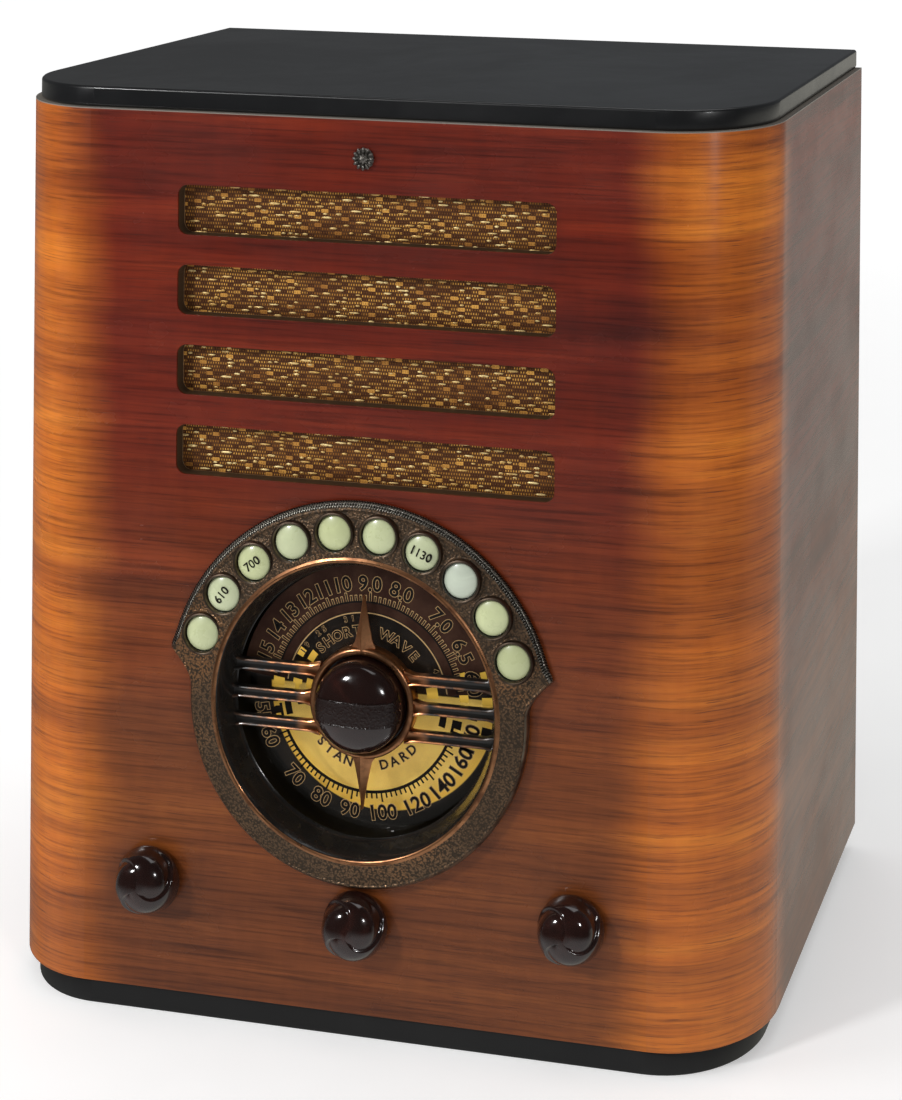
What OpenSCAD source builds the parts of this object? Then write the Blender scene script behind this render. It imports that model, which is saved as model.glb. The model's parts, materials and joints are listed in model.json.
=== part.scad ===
// Upright table radio with a rotary station dial, modelled as separate pieces in millimetres.
// X runs across the front, +Y points to the back and +Z up. The origin is the middle of the
// base's underside. "Depth" is measured backwards from the wooden front face.

/* [Cabinet] */
// Width of the wooden body
body_w = 346; // [340:1:370]
// Front-to-back size of the wooden body
body_d = 222; // [220:1:240]
// Height of the wooden body, between base and top board
body_h = 380; // [376:1:400]
// Radius of the two round front corners
corner_r = 46; // [36:1:48]
// Thickness of the bent plywood shell
wall_t = 6.5; // [6:0.5:7]
// Thickness of the black base
base_h = 11; // [9:1:11]
// Thickness of the black top board
top_t = 9; // [7:1:12]

/* [Speaker grille] */
// Width of each grille slot
slot_w = 171; // [150:1:180]
// Height of each grille slot
slot_h = 21.5; // [16:0.5:24]
// Distance from one slot to the next
slot_pitch = 34.46; // [32:0.1:36]
// Height of the speaker's axis above the table
speaker_z = 297; // [296:0.5:300]

/* [Dial] */
// Height of the dial's axis above the table
dial_z = 142.3; // [142:0.1:145]
// Outer radius of the dial's plain lower rim
rim_r = 76; // [75:0.5:77]
// Outer radius of the wide upper part that holds the station buttons
crescent_r = 87.3; // [86:0.1:88]
// Radius of the clear opening in the dial casting
window_r = 62.5; // [61:0.5:63]
// Number of station buttons
button_count = 10; // [10]
// Radius of the circle that the station buttons sit on
button_circle_r = 74.7; // [74:0.1:75]
// Angle between neighbouring station buttons
button_step = 15.4; // [15:0.1:15.6]

/* [Controls] */
// Distance of the outer control shafts from the middle
control_x = 95.3; // [90:0.1:100]
// Height of the outer control shafts
control_z = 59.5; // [58:0.5:62]
// Height of the middle control shaft
middle_z = 50.5; // [49:0.5:51]
// Radius of the three small knobs
knob_r = 14.5; // [13:0.5:15]

/* [Hidden] */
$fn = 96;
front_y = -body_d / 2;
body_top = base_h + body_h;
inner_half = body_w / 2 - wall_t;
shaft_r = 3.175;
bore_r = 3.2;
run_r = 3.25;
opening_r = 74.5;
crescent_half = 77.8;
ear_r = 88.6;
hub_r = 23.6;
hub_bore_r = 20.2;
button_r = 7.5;
flange_front = -3.2;
stem_circle_r = 71.5;
deck_z = 81;
apron_d = 32;
sheet_t = 1.2;
chassis_w = 300;
chassis_d = 165;
shelf_t = 10;
tube_spots = [[-120, 62], [-76, 62], [76, 66], [122, 66], [76, 158], [122, 158]];
can_spots = [[76, 112], [122, 112]];
filter_spots = [[-42, 160], [0, 166]];

// ---- Helpers ----------------------------------------------------------------------------

// Y of a point that lies d behind the front face
function dep(d) = front_y + d;

// Angle of station button i, counted clockwise from the left, from the +X axis
function button_angle(i) = 90 + button_step * ((button_count - 1) / 2 - i);

// Round bar along the depth axis
module rod(r, d0, d1, x = 0, z = 0)
    translate([x, dep(d1), z]) rotate([90, 0, 0]) cylinder(r = r, h = d1 - d0);

// Tube along the depth axis
module ring(ro, ri, d0, d1, x = 0, z = 0)
    difference() {
        rod(ro, d0, d1, x, z);
        rod(ri, d0 - 1, d1 + 1, x, z);
    }

// Front-view outline (x, z) given a thickness along the depth axis
module plate(d0, d1)
    translate([0, dep(d1), 0]) rotate([90, 0, 0]) linear_extrude(d1 - d0) children();

// Profile of (radius, depth) points turned about a depth axis
module turned(x, z, points)
    translate([x, front_y, z]) rotate([-90, 0, 0]) rotate_extrude() polygon(points);

// Upright profile of (radius, height) points turned about a vertical axis
module upright(x, d, z, points)
    translate([x, dep(d), z]) rotate_extrude() polygon(points);

// Block between two corners: across x, depth and height
module block(x0, x1, d0, d1, z0, z1)
    translate([x0, dep(d0), z0]) cube([x1 - x0, d1 - d0, z1 - z0]);

// Plan of the cabinet: flat back and two round front corners
module plan(w, d, r, y0) {
    translate([-w / 2, y0 + r]) square([w, d - r]);
    translate([-w / 2 + r, y0]) square([w - 2 * r, d]);
    for (s = [-1, 1])
        translate([s * (w / 2 - r), y0 + r]) circle(r);
}

// Rectangle with round corners, centred
module round_rect(w, h, r) {
    square([w - 2 * r, h], center = true);
    square([w, h - 2 * r], center = true);
    for (sx = [-1, 1], sz = [-1, 1])
        translate([sx * (w / 2 - r), sz * (h / 2 - r)]) circle(r);
}

// Quarter turns of its children about the depth axis through height z
module quarters(z, first = 45)
    for (k = [0 : 3])
        translate([0, 0, z]) rotate([0, first + 90 * k, 0]) children();

// ---- Cabinet ----------------------------------------------------------------------------

module cabinet_wrap() {
    color("saddlebrown")
    difference() {
        translate([0, 0, base_h]) linear_extrude(body_h) difference() {
            plan(body_w, body_d, corner_r, front_y);
            plan(2 * inner_half, body_d, corner_r - wall_t, front_y + wall_t);
        }
        for (i = [0 : 3])
            plate(-1, wall_t + 1)
                translate([0, speaker_z + slot_pitch * (1.5 - i)]) round_rect(slot_w, slot_h, 4.5);
        rod(opening_r, -1, wall_t + 1, 0, dial_z);
        for (s = [-1, 1])
            rod(5.5, -1, wall_t + 1, s * control_x, control_z);
        rod(5.5, -1, wall_t + 1, 0, middle_z);
        rod(1.5, -1, wall_t + 1, 0, body_top - 16.6);
    }
}

module top_board() {
    inset = 2.5;
    color("black")
    translate([0, 0, body_top]) linear_extrude(top_t)
        plan(body_w - 2 * inset, body_d - inset, corner_r - inset, front_y + inset);
}

module base_plinth() {
    side = 5.4;
    front = 2.2;
    color("black")
    linear_extrude(base_h)
        plan(body_w - 2 * side, body_d - front - 3, corner_r - 3, front_y + front);
}

module bottom_shelf() {
    gap = 0.2;
    color("burlywood")
    translate([0, 0, base_h]) linear_extrude(shelf_t)
        plan(2 * (inner_half - gap), body_d - wall_t - 3, corner_r - wall_t - gap, front_y + wall_t + gap);
}

// Triangular strips glued into the corners between sides, shelf and top
module glue_blocks() {
    leg = 14;
    color("tan")
    for (s = [-1, 1], top = [0, 1]) {
        z = top ? body_top : base_h + shelf_t;
        dz = top ? -leg : leg;
        plate(60, 205)
            polygon([[s * inner_half, z], [s * (inner_half - leg), z], [s * inner_half, z + dz]]);
    }
}

// Small cast flower on a nail, above the grille
module rosette() {
    z = body_top - 16.6;
    petals = 12;
    color("dimgray") {
        rod(3.1, -2.6, 0, 0, z);
        for (k = [0 : petals - 1])
            rod(0.75, -1.9, 0, 4.1 * cos(k * 360 / petals), z + 4.1 * sin(k * 360 / petals));
        rod(4.3, -1, 0, 0, z);
        rod(1.4, -1, 5, 0, z);
    }
}

// ---- Speaker ----------------------------------------------------------------------------

baffle_d = wall_t + 0.5;
flange_d = baffle_d + 6;
bolt_circle_r = 77;

module speaker_baffle() {
    color("tan")
    difference() {
        plate(baffle_d, flange_d) translate([0, speaker_z + 5]) square([248, 150], center = true);
        rod(67, 0, 30, 0, speaker_z);
        quarters(speaker_z) translate([0, dep(flange_d), bolt_circle_r]) rotate([90, 0, 0]) cylinder(r = 1.6, h = 5);
    }
}

module grille_cloth() {
    color("goldenrod")
    plate(wall_t, baffle_d) translate([0, speaker_z]) square([240, 132], center = true);
}

module speaker_frame() {
    back = flange_d + 43;
    color("dimgray")
    difference() {
        union() {
            ring(80, 70, flange_d, flange_d + 1.2, 0, speaker_z);
            turned(0, speaker_z, [[72, flange_d + 1], [74, flange_d + 1], [35, back], [33, back]]);
            ring(35, 15, back - 0.5, back + 1.5, 0, speaker_z);
        }
        quarters(speaker_z, 0) translate([-15, dep(flange_d + 7), 30]) cube([30, 28, 60]);
        quarters(speaker_z) translate([0, dep(flange_d + 3), bolt_circle_r]) rotate([90, 0, 0]) cylinder(r = 1.6, h = 5);
    }
}

module cone_surround() {
    d = flange_d + 1.2;
    color("black")
    turned(0, speaker_z, [[66.4, d + 0.6], [67.8, d + 1.6], [69, d], [70.6, d], [70.6, d + 0.8], [69.4, d + 0.8],
        [67.9, d + 2.4], [66.4, d + 1.4]]);
}

// Paper cone with its dust cap and voice coil
module speaker_cone() {
    edge = flange_d + 2.4;
    coil = edge + 29;
    cap_r = 24;
    cap_centre = coil + 14.5;
    color("dimgray") {
        turned(0, speaker_z, [[66.4, edge - 0.5], [66.4, edge], [13.4, coil], [13.4, coil + 17],
            [12.7, coil + 17], [12.7, coil - 0.5]]);
        turned(0, speaker_z, concat(
            [for (a = [0 : 9 : 45]) [cap_r * sin(a), cap_centre - cap_r * cos(a)]],
            [for (a = [45 : -9 : 0]) [(cap_r - 0.8) * sin(a), cap_centre - (cap_r - 0.8) * cos(a)]]));
    }
}

// Field magnet: pot, front plate ring and centre pole
module field_pot() {
    d = flange_d + 44.5;
    color("darkslategray")
    turned(0, speaker_z, [[14.3, d], [32, d], [32, d + 40], [0, d + 40], [0, d + 1], [11.5, d + 1],
        [11.5, d + 36], [28, d + 36], [28, d + 5], [14.3, d + 5]]);
}

module output_transformer() {
    d = flange_d + 52;
    z = speaker_z + 33;
    color("dimgray")
    difference() {
        union() {
            block(-22, 22, d, d + 15, z, z + 36);
            block(-13, 13, d - 8, d + 23, z + 7, z + 29);
            block(-16, 16, d, d + 15, z - 8, z + 1);
        }
        rod(32, 0, 200, 0, speaker_z);
    }
}

// Speaker bolts with hexagon nuts, and the four screws of the dial pan
module panel_fasteners() {
    color("silver") {
        quarters(speaker_z) translate([0, dep(flange_d + 5), bolt_circle_r]) rotate([90, 0, 0]) {
            cylinder(r = 1.5, h = 9);
            translate([0, 0, 0.8]) cylinder(r = 2.9, h = 3, $fn = 6);
        }
        quarters(dial_z) translate([0, dep(wall_t + 2.6), 78.6]) rotate([90, 0, 0]) cylinder(r = 2.4, h = 1.4);
    }
}

// ---- Dial -------------------------------------------------------------------------------

// Front view of the casting: plain rim below, wide crescent above, a pointed ear at each end
module casting_outline() {
    steps = 6;
    circle(rim_r);
    intersection() {
        circle(crescent_r);
        polygon([[0, 0], for (a = [90 - crescent_half : 2 * crescent_half / 8 : 90 + crescent_half + 0.01])
            140 * [cos(a), sin(a)]]);
    }
    for (s = [-1, 1])
        polygon([[0, 0], 80 * [s * sin(66), cos(66)],
            for (i = [0 : steps])
                let (t = i / steps, a = crescent_half + 10 * t, r = ear_r - (ear_r - rim_r + 0.5) * t * (2 - t))
                r * [s * sin(a), cos(a)]]);
}

// The cast dial: rim, crescent, dished wall, hub ring, three bars a side and two pointers
module dial_rotor() {
    back = -1.2;
    bar_h = 4.8;
    bar_gap = 12;
    color("peru")
    difference() {
        union() {
            intersection() {
                turned(0, dial_z, [[90, back], [90, -2.8], [crescent_r - 1, -3.4], [76, -5.6], [66.5, -6.9],
                    [65.6, -7.6], [63.6, -7.6], [window_r, -6.8], [58, 5], [60.6, 5], [64.4, back]]);
                plate(-12, 8) translate([0, dial_z]) casting_outline();
            }
            intersection() {
                for (s = [-1, 1], k = [-1 : 1])
                    block(s > 0 ? 19 : -62, s > 0 ? 62 : -19, 1.9, 4.6,
                        dial_z + k * bar_gap - bar_h / 2, dial_z + k * bar_gap + bar_h / 2);
                rod(60.2, 0, 8, 0, dial_z);
            }
            ring(hub_r, hub_bore_r, 1.6, 7, 0, dial_z);
            ring(hub_bore_r + 1, 6.35, 5.5, 7, 0, dial_z);
            for (s = [-1, 1])
                plate(2.2, 4.6) translate([0, dial_z])
                    polygon([[-4.6, s * 22], [4.6, s * 22], [0.35, s * 45.5], [-0.35, s * 45.5]]);
        }
        rod(hub_bore_r, 0, 5.5, 0, dial_z);
        for (i = [0 : button_count - 1]) {
            x = button_circle_r * cos(button_angle(i));
            z = dial_z + button_circle_r * sin(button_angle(i));
            rod(button_r + 0.3, -12, 3, x, z);
            rod(button_r + 1.3, flange_front, 3, x, z);
        }
    }
}

module rotor_sleeve() {
    color("goldenrod")
    difference() {
        union() {
            rod(6.35, 5.5, 40, 0, dial_z);
            rod(10, 7, 8.3, 0, dial_z);
        }
        rod(run_r, 0, 50, 0, dial_z);
    }
}

// Push button i: a round station disc on a flanged cap, with the stem that meets the stop
module station_button(i) {
    a = button_angle(i);
    x = button_circle_r * cos(a);
    z = dial_z + button_circle_r * sin(a);
    color("honeydew") {
        rod(button_r, -6.4, -2.8, x, z);
        rod(button_r + 1, flange_front, flange_front + 0.8, x, z);
        rod(1.6, -2.6, -0.4, stem_circle_r * cos(a), dial_z + stem_circle_r * sin(a));
    }
}

// Spring-steel crescent behind the casting, with one tongue under each button
module button_springs() {
    half = 74;
    color("silver") {
        plate(-1.2, 0.4) translate([0, dial_z]) intersection() {
            difference() {
                circle(65.8);
                circle(64.5);
            }
            polygon([[0, 0], for (a = [90 - half : 2 * half / 8 : 90 + half + 0.01]) 140 * [cos(a), sin(a)]]);
        }
        for (i = [0 : button_count - 1])
            translate([0, dep(0.1), dial_z]) rotate([0, 90 - button_angle(i), 0])
                translate([-3, 0, 65]) cube([6, 0.3, 4.2]);
    }
}

module dial_glass() {
    color("lightyellow")
    ring(64, 12, wall_t + sheet_t, wall_t + sheet_t + 1.5, 0, dial_z);
}

// Steel ring screwed inside the front, with the lug that a pressed button's stem stops against
module dial_pan() {
    color("black")
    difference() {
        union() {
            ring(82, 61, wall_t, wall_t + sheet_t, 0, dial_z);
            block(-1.5, 1.5, 0.6, wall_t + 0.5, dial_z + 69.5, dial_z + 73.6);
        }
        for (s = [-1, 1])
            rod(0.9, 0, 20, s * 70, dial_z);
    }
}

module lamp_house() {
    d = wall_t + sheet_t + 1.5;
    color("lightgray")
    difference() {
        rod(64, d, 28.2, 0, dial_z);
        rod(62.8, d - 1, 27, 0, dial_z);
        rod(14, 20, 30, 0, dial_z);
        for (s = [-1, 1])
            rod(6.2, 20, 30, s * 30, dial_z + 30);
    }
}

// Yellow disc behind the glass that spreads the lamps' light, on three posts
module reflector_disc() {
    color("gold")
    difference() {
        union() {
            rod(55, 17, 17.8, 0, dial_z);
            for (a = [30, 150, 270])
                rod(2, 17.5, 27, 46 * cos(a), dial_z + 46 * sin(a));
        }
        rod(12, 15, 30, 0, dial_z);
        for (s = [-1, 1])
            rod(7, 15, 30, s * 30, dial_z + 30);
    }
}

module pilot_lamps() {
    color("lightyellow")
    for (s = [-1, 1])
        turned(s * 30, dial_z + 30, concat([for (a = [0 : 15 : 135]) [5 * sin(a), 16 - 5 * cos(a)]],
            [[3.6, 24], [0, 24]]));
}

module lamp_sockets() {
    color("goldenrod")
    for (s = [-1, 1])
        difference() {
            union() {
                rod(6, 22, 36, s * 30, dial_z + 30);
                rod(8, 28.2, 29.4, s * 30, dial_z + 30);
            }
            rod(4.8, 20, 24, s * 30, dial_z + 30);
        }
}

// ---- Fine tuning drive ------------------------------------------------------------------

// Domed knob in the hub of the dial, with a flat raised band across its face
module fine_knob() {
    r = hub_bore_r - 0.5;
    face = 12;
    color("black")
    difference() {
        union() {
            turned(0, dial_z, concat([[0, 5], [r, 5], [r, 0]],
                [for (a = [10 : 10 : 90]) [r * pow(cos(a), 0.8), -(face - 1) * pow(sin(a), 0.9)]]));
            intersection() {
                rod(13.5, -face, -4, 0, dial_z);
                block(-20, 20, -face, -4, dial_z - 5, dial_z + 5);
            }
        }
        rod(bore_r, -5, 6, 0, dial_z);
    }
}

module fine_shaft() {
    color("silver") rod(shaft_r, -5, 46, 0, dial_z);
}

module front_bearing() {
    color("goldenrod")
    difference() {
        union() {
            rod(9.9, 26, 38, 0, dial_z);
            rod(13, 28.4, 30, 0, dial_z);
        }
        rod(6.4, 0, 50, 0, dial_z);
    }
}

module dial_bracket() {
    color("silver")
    difference() {
        block(-18, 18, 30, apron_d, 63, dial_z + 24);
        rod(10, 20, 40, 0, dial_z);
        for (s = [-1, 1], z = [70, 77])
            rod(1.6, 20, 40, s * 13, z);
    }
}

// Ring with the ball race of the reduction drive, on two posts
module vernier_housing() {
    color("silver") {
        ring(16, 9.25, 38, 50, 0, dial_z);
        for (s = [-1, 1])
            rod(2, apron_d, 39, s * 13.2, dial_z);
    }
}

// Cage of two discs and three posts that carries the balls round, with a stub for the coupling
module vernier_carrier() {
    color("goldenrod")
    difference() {
        union() {
            rod(8.9, 40, 40.7, 0, dial_z);
            rod(8.9, 46.9, 49, 0, dial_z);
            rod(shaft_r, 48, 57.9, 0, dial_z);
            for (a = [60, 180, 300])
                rod(2.5, 40.4, 47.2, 6.2 * sin(a), dial_z + 6.2 * cos(a));
        }
        rod(run_r, 30, 47.4, 0, dial_z);
    }
}

module vernier_balls() {
    color("white")
    for (a = [0, 120, 240])
        translate([0, dep(43.8), dial_z]) rotate([0, a, 0]) translate([0, 0, 6.22]) sphere(r = 3);
}

// ---- Tuning condenser -------------------------------------------------------------------

gang_x0 = -30;
gang_x1 = 34;
gang_z0 = 112;
gang_d0 = 66;
gang_d1 = 136;
section_pitch = 20.5;
plate_pitch = 2.4;

module gang_frame() {
    z1 = dial_z + 30;
    color("silver")
    difference() {
        union() {
            block(gang_x0, gang_x1, gang_d0, gang_d0 + 2, gang_z0, z1);
            block(gang_x0, gang_x1, gang_d1 - 2, gang_d1, gang_z0, z1);
            block(gang_x0, gang_x1, gang_d0, gang_d1, gang_z0, gang_z0 + 1.6);
            block(gang_x0, gang_x0 + 2, gang_d0, gang_d1, gang_z0, gang_z0 + 14);
            block(gang_x1 - 2, gang_x1, gang_d0, gang_d1, gang_z0, gang_z0 + 14);
            for (x = [gang_x0 + 7, gang_x1 - 7], d = [gang_d0 + 8, gang_d1 - 8])
                translate([x, dep(d), deck_z]) cylinder(r = 4, h = gang_z0 - deck_z + 0.5);
        }
        rod(run_r, 0, 200, 0, dial_z);
    }
}

// Fixed plates: half discs on the +X side, joined by two bars
module gang_stators() {
    color("lightsteelblue") {
        for (s = [0 : 2], i = [0 : 6])
            plate(71 + s * section_pitch + i * plate_pitch, 71.6 + s * section_pitch + i * plate_pitch)
                translate([0, dial_z]) difference() {
                    intersection() {
                        circle(26);
                        translate([1, -30]) square([40, 60]);
                    }
                    circle(6.5);
                }
        for (z = [-9, 9])
            block(23.6, 25.6, gang_d0 + 2, gang_d1 - 2, dial_z + z - 3, dial_z + z + 3);
    }
}

// Shaft, coupling and moving plates: half discs that swing into the fixed ones
module gang_rotor() {
    color("lightgray") {
        rod(shaft_r, 58, 140, 0, dial_z);
        ring(7, bore_r, 52.5, 58.5, 0, dial_z);
        rod(7, 58, 63, 0, dial_z);
        for (s = [0 : 2]) {
            rod(5.5, 71.2 + s * section_pitch, 86.8 + s * section_pitch, 0, dial_z);
            for (i = [0 : 5])
                plate(72.2 + s * section_pitch + i * plate_pitch, 72.8 + s * section_pitch + i * plate_pitch)
                    translate([0, dial_z]) intersection() {
                        circle(22.5);
                        translate([-30, -4]) square([60, 40]);
                    }
        }
    }
}

// ---- Chassis ----------------------------------------------------------------------------

module chassis_pan() {
    z0 = base_h + shelf_t;
    color("gray")
    difference() {
        block(-chassis_w / 2, chassis_w / 2, apron_d, apron_d + chassis_d, z0, deck_z);
        block(-chassis_w / 2 + sheet_t, chassis_w / 2 - sheet_t, apron_d + sheet_t, apron_d + chassis_d - sheet_t,
            z0 - 1, deck_z - sheet_t);
        for (p = tube_spots)
            translate([p[0], dep(p[1]), z0]) cylinder(r = 14, h = 80);
        for (s = [-1, 1])
            rod(4.9, 20, 40, s * control_x, control_z);
        rod(4.9, 20, 40, 0, middle_z);
        rod(4, 190, 210, -110, 45);
        for (x = [40, 56])
            rod(2, 190, 210, x, 58);
    }
}

module tube_sockets() {
    color("sienna")
    for (p = tube_spots)
        difference() {
            translate([p[0], dep(p[1]), deck_z - 3]) union() {
                cylinder(r = 13.8, h = 3);
                translate([0, 0, 3]) cylinder(r = 18.5, h = 2);
            }
            for (k = [0 : 5])
                translate([p[0] + 8.5 * cos(60 * k), dep(p[1]) + 8.5 * sin(60 * k), deck_z - 6]) cylinder(r = 1.4, h = 12);
        }
}

module tube_bases() {
    z = deck_z + 2;
    color("black")
    for (p = tube_spots) {
        translate([p[0], dep(p[1]), z]) cylinder(r = 16.5, h = 24);
        for (k = [0 : 5])
            translate([p[0] + 8.5 * cos(60 * k), dep(p[1]) + 8.5 * sin(60 * k), z - 7]) cylinder(r = 1.2, h = 8);
    }
}

// Shouldered glass envelopes
module tube_glass() {
    color("lightcyan")
    for (p = tube_spots)
        upright(p[0], p[1], deck_z + 26, concat([[0, 0], [14, 0]],
            [for (t = [0 : 0.1 : 1]) [14 + 6.5 * sin(90 * t), 2 + 20 * t]],
            [for (t = [0.2 : 0.2 : 1]) [20.5 - 7 * (1 - cos(90 * t)), 22 + 22 * sin(90 * t) * 0.9]],
            [for (a = [0 : 15 : 90]) [13 * cos(a), 50 + 13 * sin(a)]]));
}

// Shield cans of the intermediate-frequency transformers
module if_cans() {
    color("silver")
    for (p = can_spots)
        translate([p[0], dep(p[1]), deck_z]) {
            linear_extrude(84) round_rect(36, 36, 6);
            translate([0, 0, 84]) cylinder(r = 12, h = 1.5);
        }
}

// Stack of laminations of the mains transformer
module power_transformer() {
    color("dimgray")
    block(-140, -68, 128, 160, deck_z, deck_z + 62);
}

module transformer_bells() {
    color("black")
    for (d = [[106, 128], [160, 182]])
        block(-134, -74, d[0], d[1], deck_z + 4, deck_z + 58);
}

module filter_cans() {
    color("silver")
    for (p = filter_spots)
        upright(p[0], p[1], deck_z, [[0, 0], [17.5, 0], [17.5, 2], [16.5, 3], [16.5, 88], [14.5, 91], [13, 90], [0, 90]]);
}

// ---- Front controls ---------------------------------------------------------------------

// Volume and tone controls: can, threaded bush and hexagon nut
module control_pots() {
    color("dimgray")
    for (s = [-1, 1])
        difference() {
            union() {
                rod(16, apron_d + sheet_t, 46, s * control_x, control_z);
                rod(4.7, 23, 40, s * control_x, control_z);
                translate([s * control_x, dep(apron_d), control_z]) rotate([90, 0, 0]) cylinder(r = 8, h = 2.4, $fn = 6);
            }
            rod(run_r, 0, 44.5, s * control_x, control_z);
        }
}

// Band switch: front plate, two wafers on posts, threaded bush and nut
module band_switch() {
    color("peru")
    difference() {
        union() {
            rod(17, apron_d + sheet_t, apron_d + sheet_t + 2, 0, middle_z);
            for (d = [42, 52])
                rod(19, d, d + 1.6, 0, middle_z);
            for (a = [0, 180])
                rod(2, 34, 56, 14 * cos(a), middle_z + 14 * sin(a));
            rod(4.7, 23, 36, 0, middle_z);
            translate([0, dep(apron_d), middle_z]) rotate([90, 0, 0]) cylinder(r = 8, h = 2.4, $fn = 6);
        }
        rod(run_r, 0, 60, 0, middle_z);
    }
}

module control_shaft(x, z, end)
    color("silver") rod(shaft_r, -9, end, x, z);

// Domed moulded knob with a narrow waist at the back
module small_knob(x, z) {
    height = 14.2;
    color("black")
    difference() {
        turned(x, z, concat([[0, -0.8], [knob_r - 1.8, -0.8], [knob_r - 0.3, -2]],
            [for (a = [0 : 9 : 90]) [knob_r * pow(cos(a), 0.75), -3.2 - (height - 2.4) * sin(a)]]));
        rod(bore_r, -9.5, 0, x, z);
    }
}

// ---- Mains lead -------------------------------------------------------------------------

// Lead looped up behind the chassis and hanging down to its two-pin plug
module power_cord() {
    cord_r = 2.8;
    loop_r = 34;
    x = -76;
    z = 104;
    d = 208;
    outlet_z = 45;
    color("saddlebrown") {
        rod(cord_r, 190, d, x - loop_r, outlet_z);
        translate([x - loop_r, dep(d), outlet_z]) sphere(r = cord_r + 0.6);
        translate([x - loop_r, dep(d), outlet_z]) cylinder(r = cord_r, h = z - outlet_z);
        translate([x, dep(d), z]) rotate([90, 0, 0]) rotate_extrude(angle = 180, $fn = 64)
            translate([loop_r, 0]) circle(cord_r, $fn = 24);
        translate([x + loop_r, dep(d), 0]) {
            translate([0, 0, 60]) cylinder(r = cord_r, h = z - 60);
            translate([0, 0, 38]) cylinder(r = 10, h = 16);
            translate([0, 0, 54]) cylinder(r1 = 9, r2 = 6, h = 8);
            for (s = [-1, 1])
                translate([s * 6 - 0.75, -3, 22]) cube([1.5, 6, 17]);
        }
    }
}

// ---- Nodes ------------------------------------------------------------------------------

cabinet_wrap();
top_board();
base_plinth();
bottom_shelf();
glue_blocks();
rosette();
speaker_baffle();
grille_cloth();
speaker_frame();
cone_surround();
speaker_cone();
field_pot();
output_transformer();
panel_fasteners();
dial_rotor();
rotor_sleeve();
button_springs();
station_button(0);  // station_button_01
station_button(1);  // station_button_02
station_button(2);  // station_button_03
station_button(3);  // station_button_04
station_button(4);  // station_button_05
station_button(5);  // station_button_06
station_button(6);  // station_button_07
station_button(7);  // station_button_08
station_button(8);  // station_button_09
station_button(9);  // station_button_10
dial_glass();
dial_pan();
lamp_house();
reflector_disc();
pilot_lamps();
lamp_sockets();
fine_knob();
fine_shaft();
front_bearing();
dial_bracket();
vernier_housing();
vernier_carrier();
vernier_balls();
gang_frame();
gang_stators();
gang_rotor();
chassis_pan();
tube_sockets();
tube_bases();
tube_glass();
if_cans();
power_transformer();
transformer_bells();
filter_cans();
control_pots();
band_switch();
control_shaft(-control_x, control_z, 44);  // volume_shaft
control_shaft(control_x, control_z, 44);  // tone_shaft
control_shaft(0, middle_z, 56);  // band_shaft
small_knob(-control_x, control_z);  // volume_knob
small_knob(control_x, control_z);  // tone_knob
small_knob(0, middle_z);  // band_knob
power_cord();
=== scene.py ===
import json
import math
import random

import bmesh
import bpy
import numpy as np
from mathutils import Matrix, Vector


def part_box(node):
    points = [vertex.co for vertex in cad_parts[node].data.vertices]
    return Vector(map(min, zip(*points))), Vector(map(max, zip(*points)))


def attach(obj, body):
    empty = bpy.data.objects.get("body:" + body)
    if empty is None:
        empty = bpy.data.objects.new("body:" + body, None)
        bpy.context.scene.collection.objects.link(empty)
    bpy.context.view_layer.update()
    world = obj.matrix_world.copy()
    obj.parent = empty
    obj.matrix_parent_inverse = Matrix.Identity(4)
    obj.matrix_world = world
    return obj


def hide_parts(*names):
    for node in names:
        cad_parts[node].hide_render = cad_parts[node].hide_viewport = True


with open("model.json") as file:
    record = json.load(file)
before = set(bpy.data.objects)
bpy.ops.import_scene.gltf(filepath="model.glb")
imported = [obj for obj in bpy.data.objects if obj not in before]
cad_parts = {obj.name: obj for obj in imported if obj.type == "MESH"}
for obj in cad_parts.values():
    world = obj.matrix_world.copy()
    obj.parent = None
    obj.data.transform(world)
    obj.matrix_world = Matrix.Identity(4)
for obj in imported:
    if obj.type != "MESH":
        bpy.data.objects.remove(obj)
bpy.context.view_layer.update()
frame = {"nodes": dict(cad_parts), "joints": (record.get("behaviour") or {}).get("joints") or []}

# Millimetres, measured from the CAD frame: x across, d back from the wooden front face, z up from the table.
MM = 0.001
JOINTS = {j["name"]: j for j in frame["joints"]}
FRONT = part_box("cabinet_wrap")[0].y
HALF_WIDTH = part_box("cabinet_wrap")[1].x
CORNER_R = 46 * MM
DIAL_Z = JOINTS["dial_turn"]["pos_m"][2] / MM
BUTTON_COUNT = 10
BUTTON_STEP = 15.4
BUTTON_CIRCLE = 74.7
BUTTON_R = 7.5
COLLAR_R = 8.8
random.seed(7)


# ---- Mesh helpers ----

def all_round(steps):
    """Column of equally spaced angles over a full turn."""
    return np.linspace(0, 2 * math.pi, steps, endpoint=False)[:, None]


def place(points):
    """Points given as (x, d, z) in millimetres, in the frame's metres."""
    p = np.asarray(points, float) * MM
    p[..., 1] += FRONT
    return p


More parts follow.
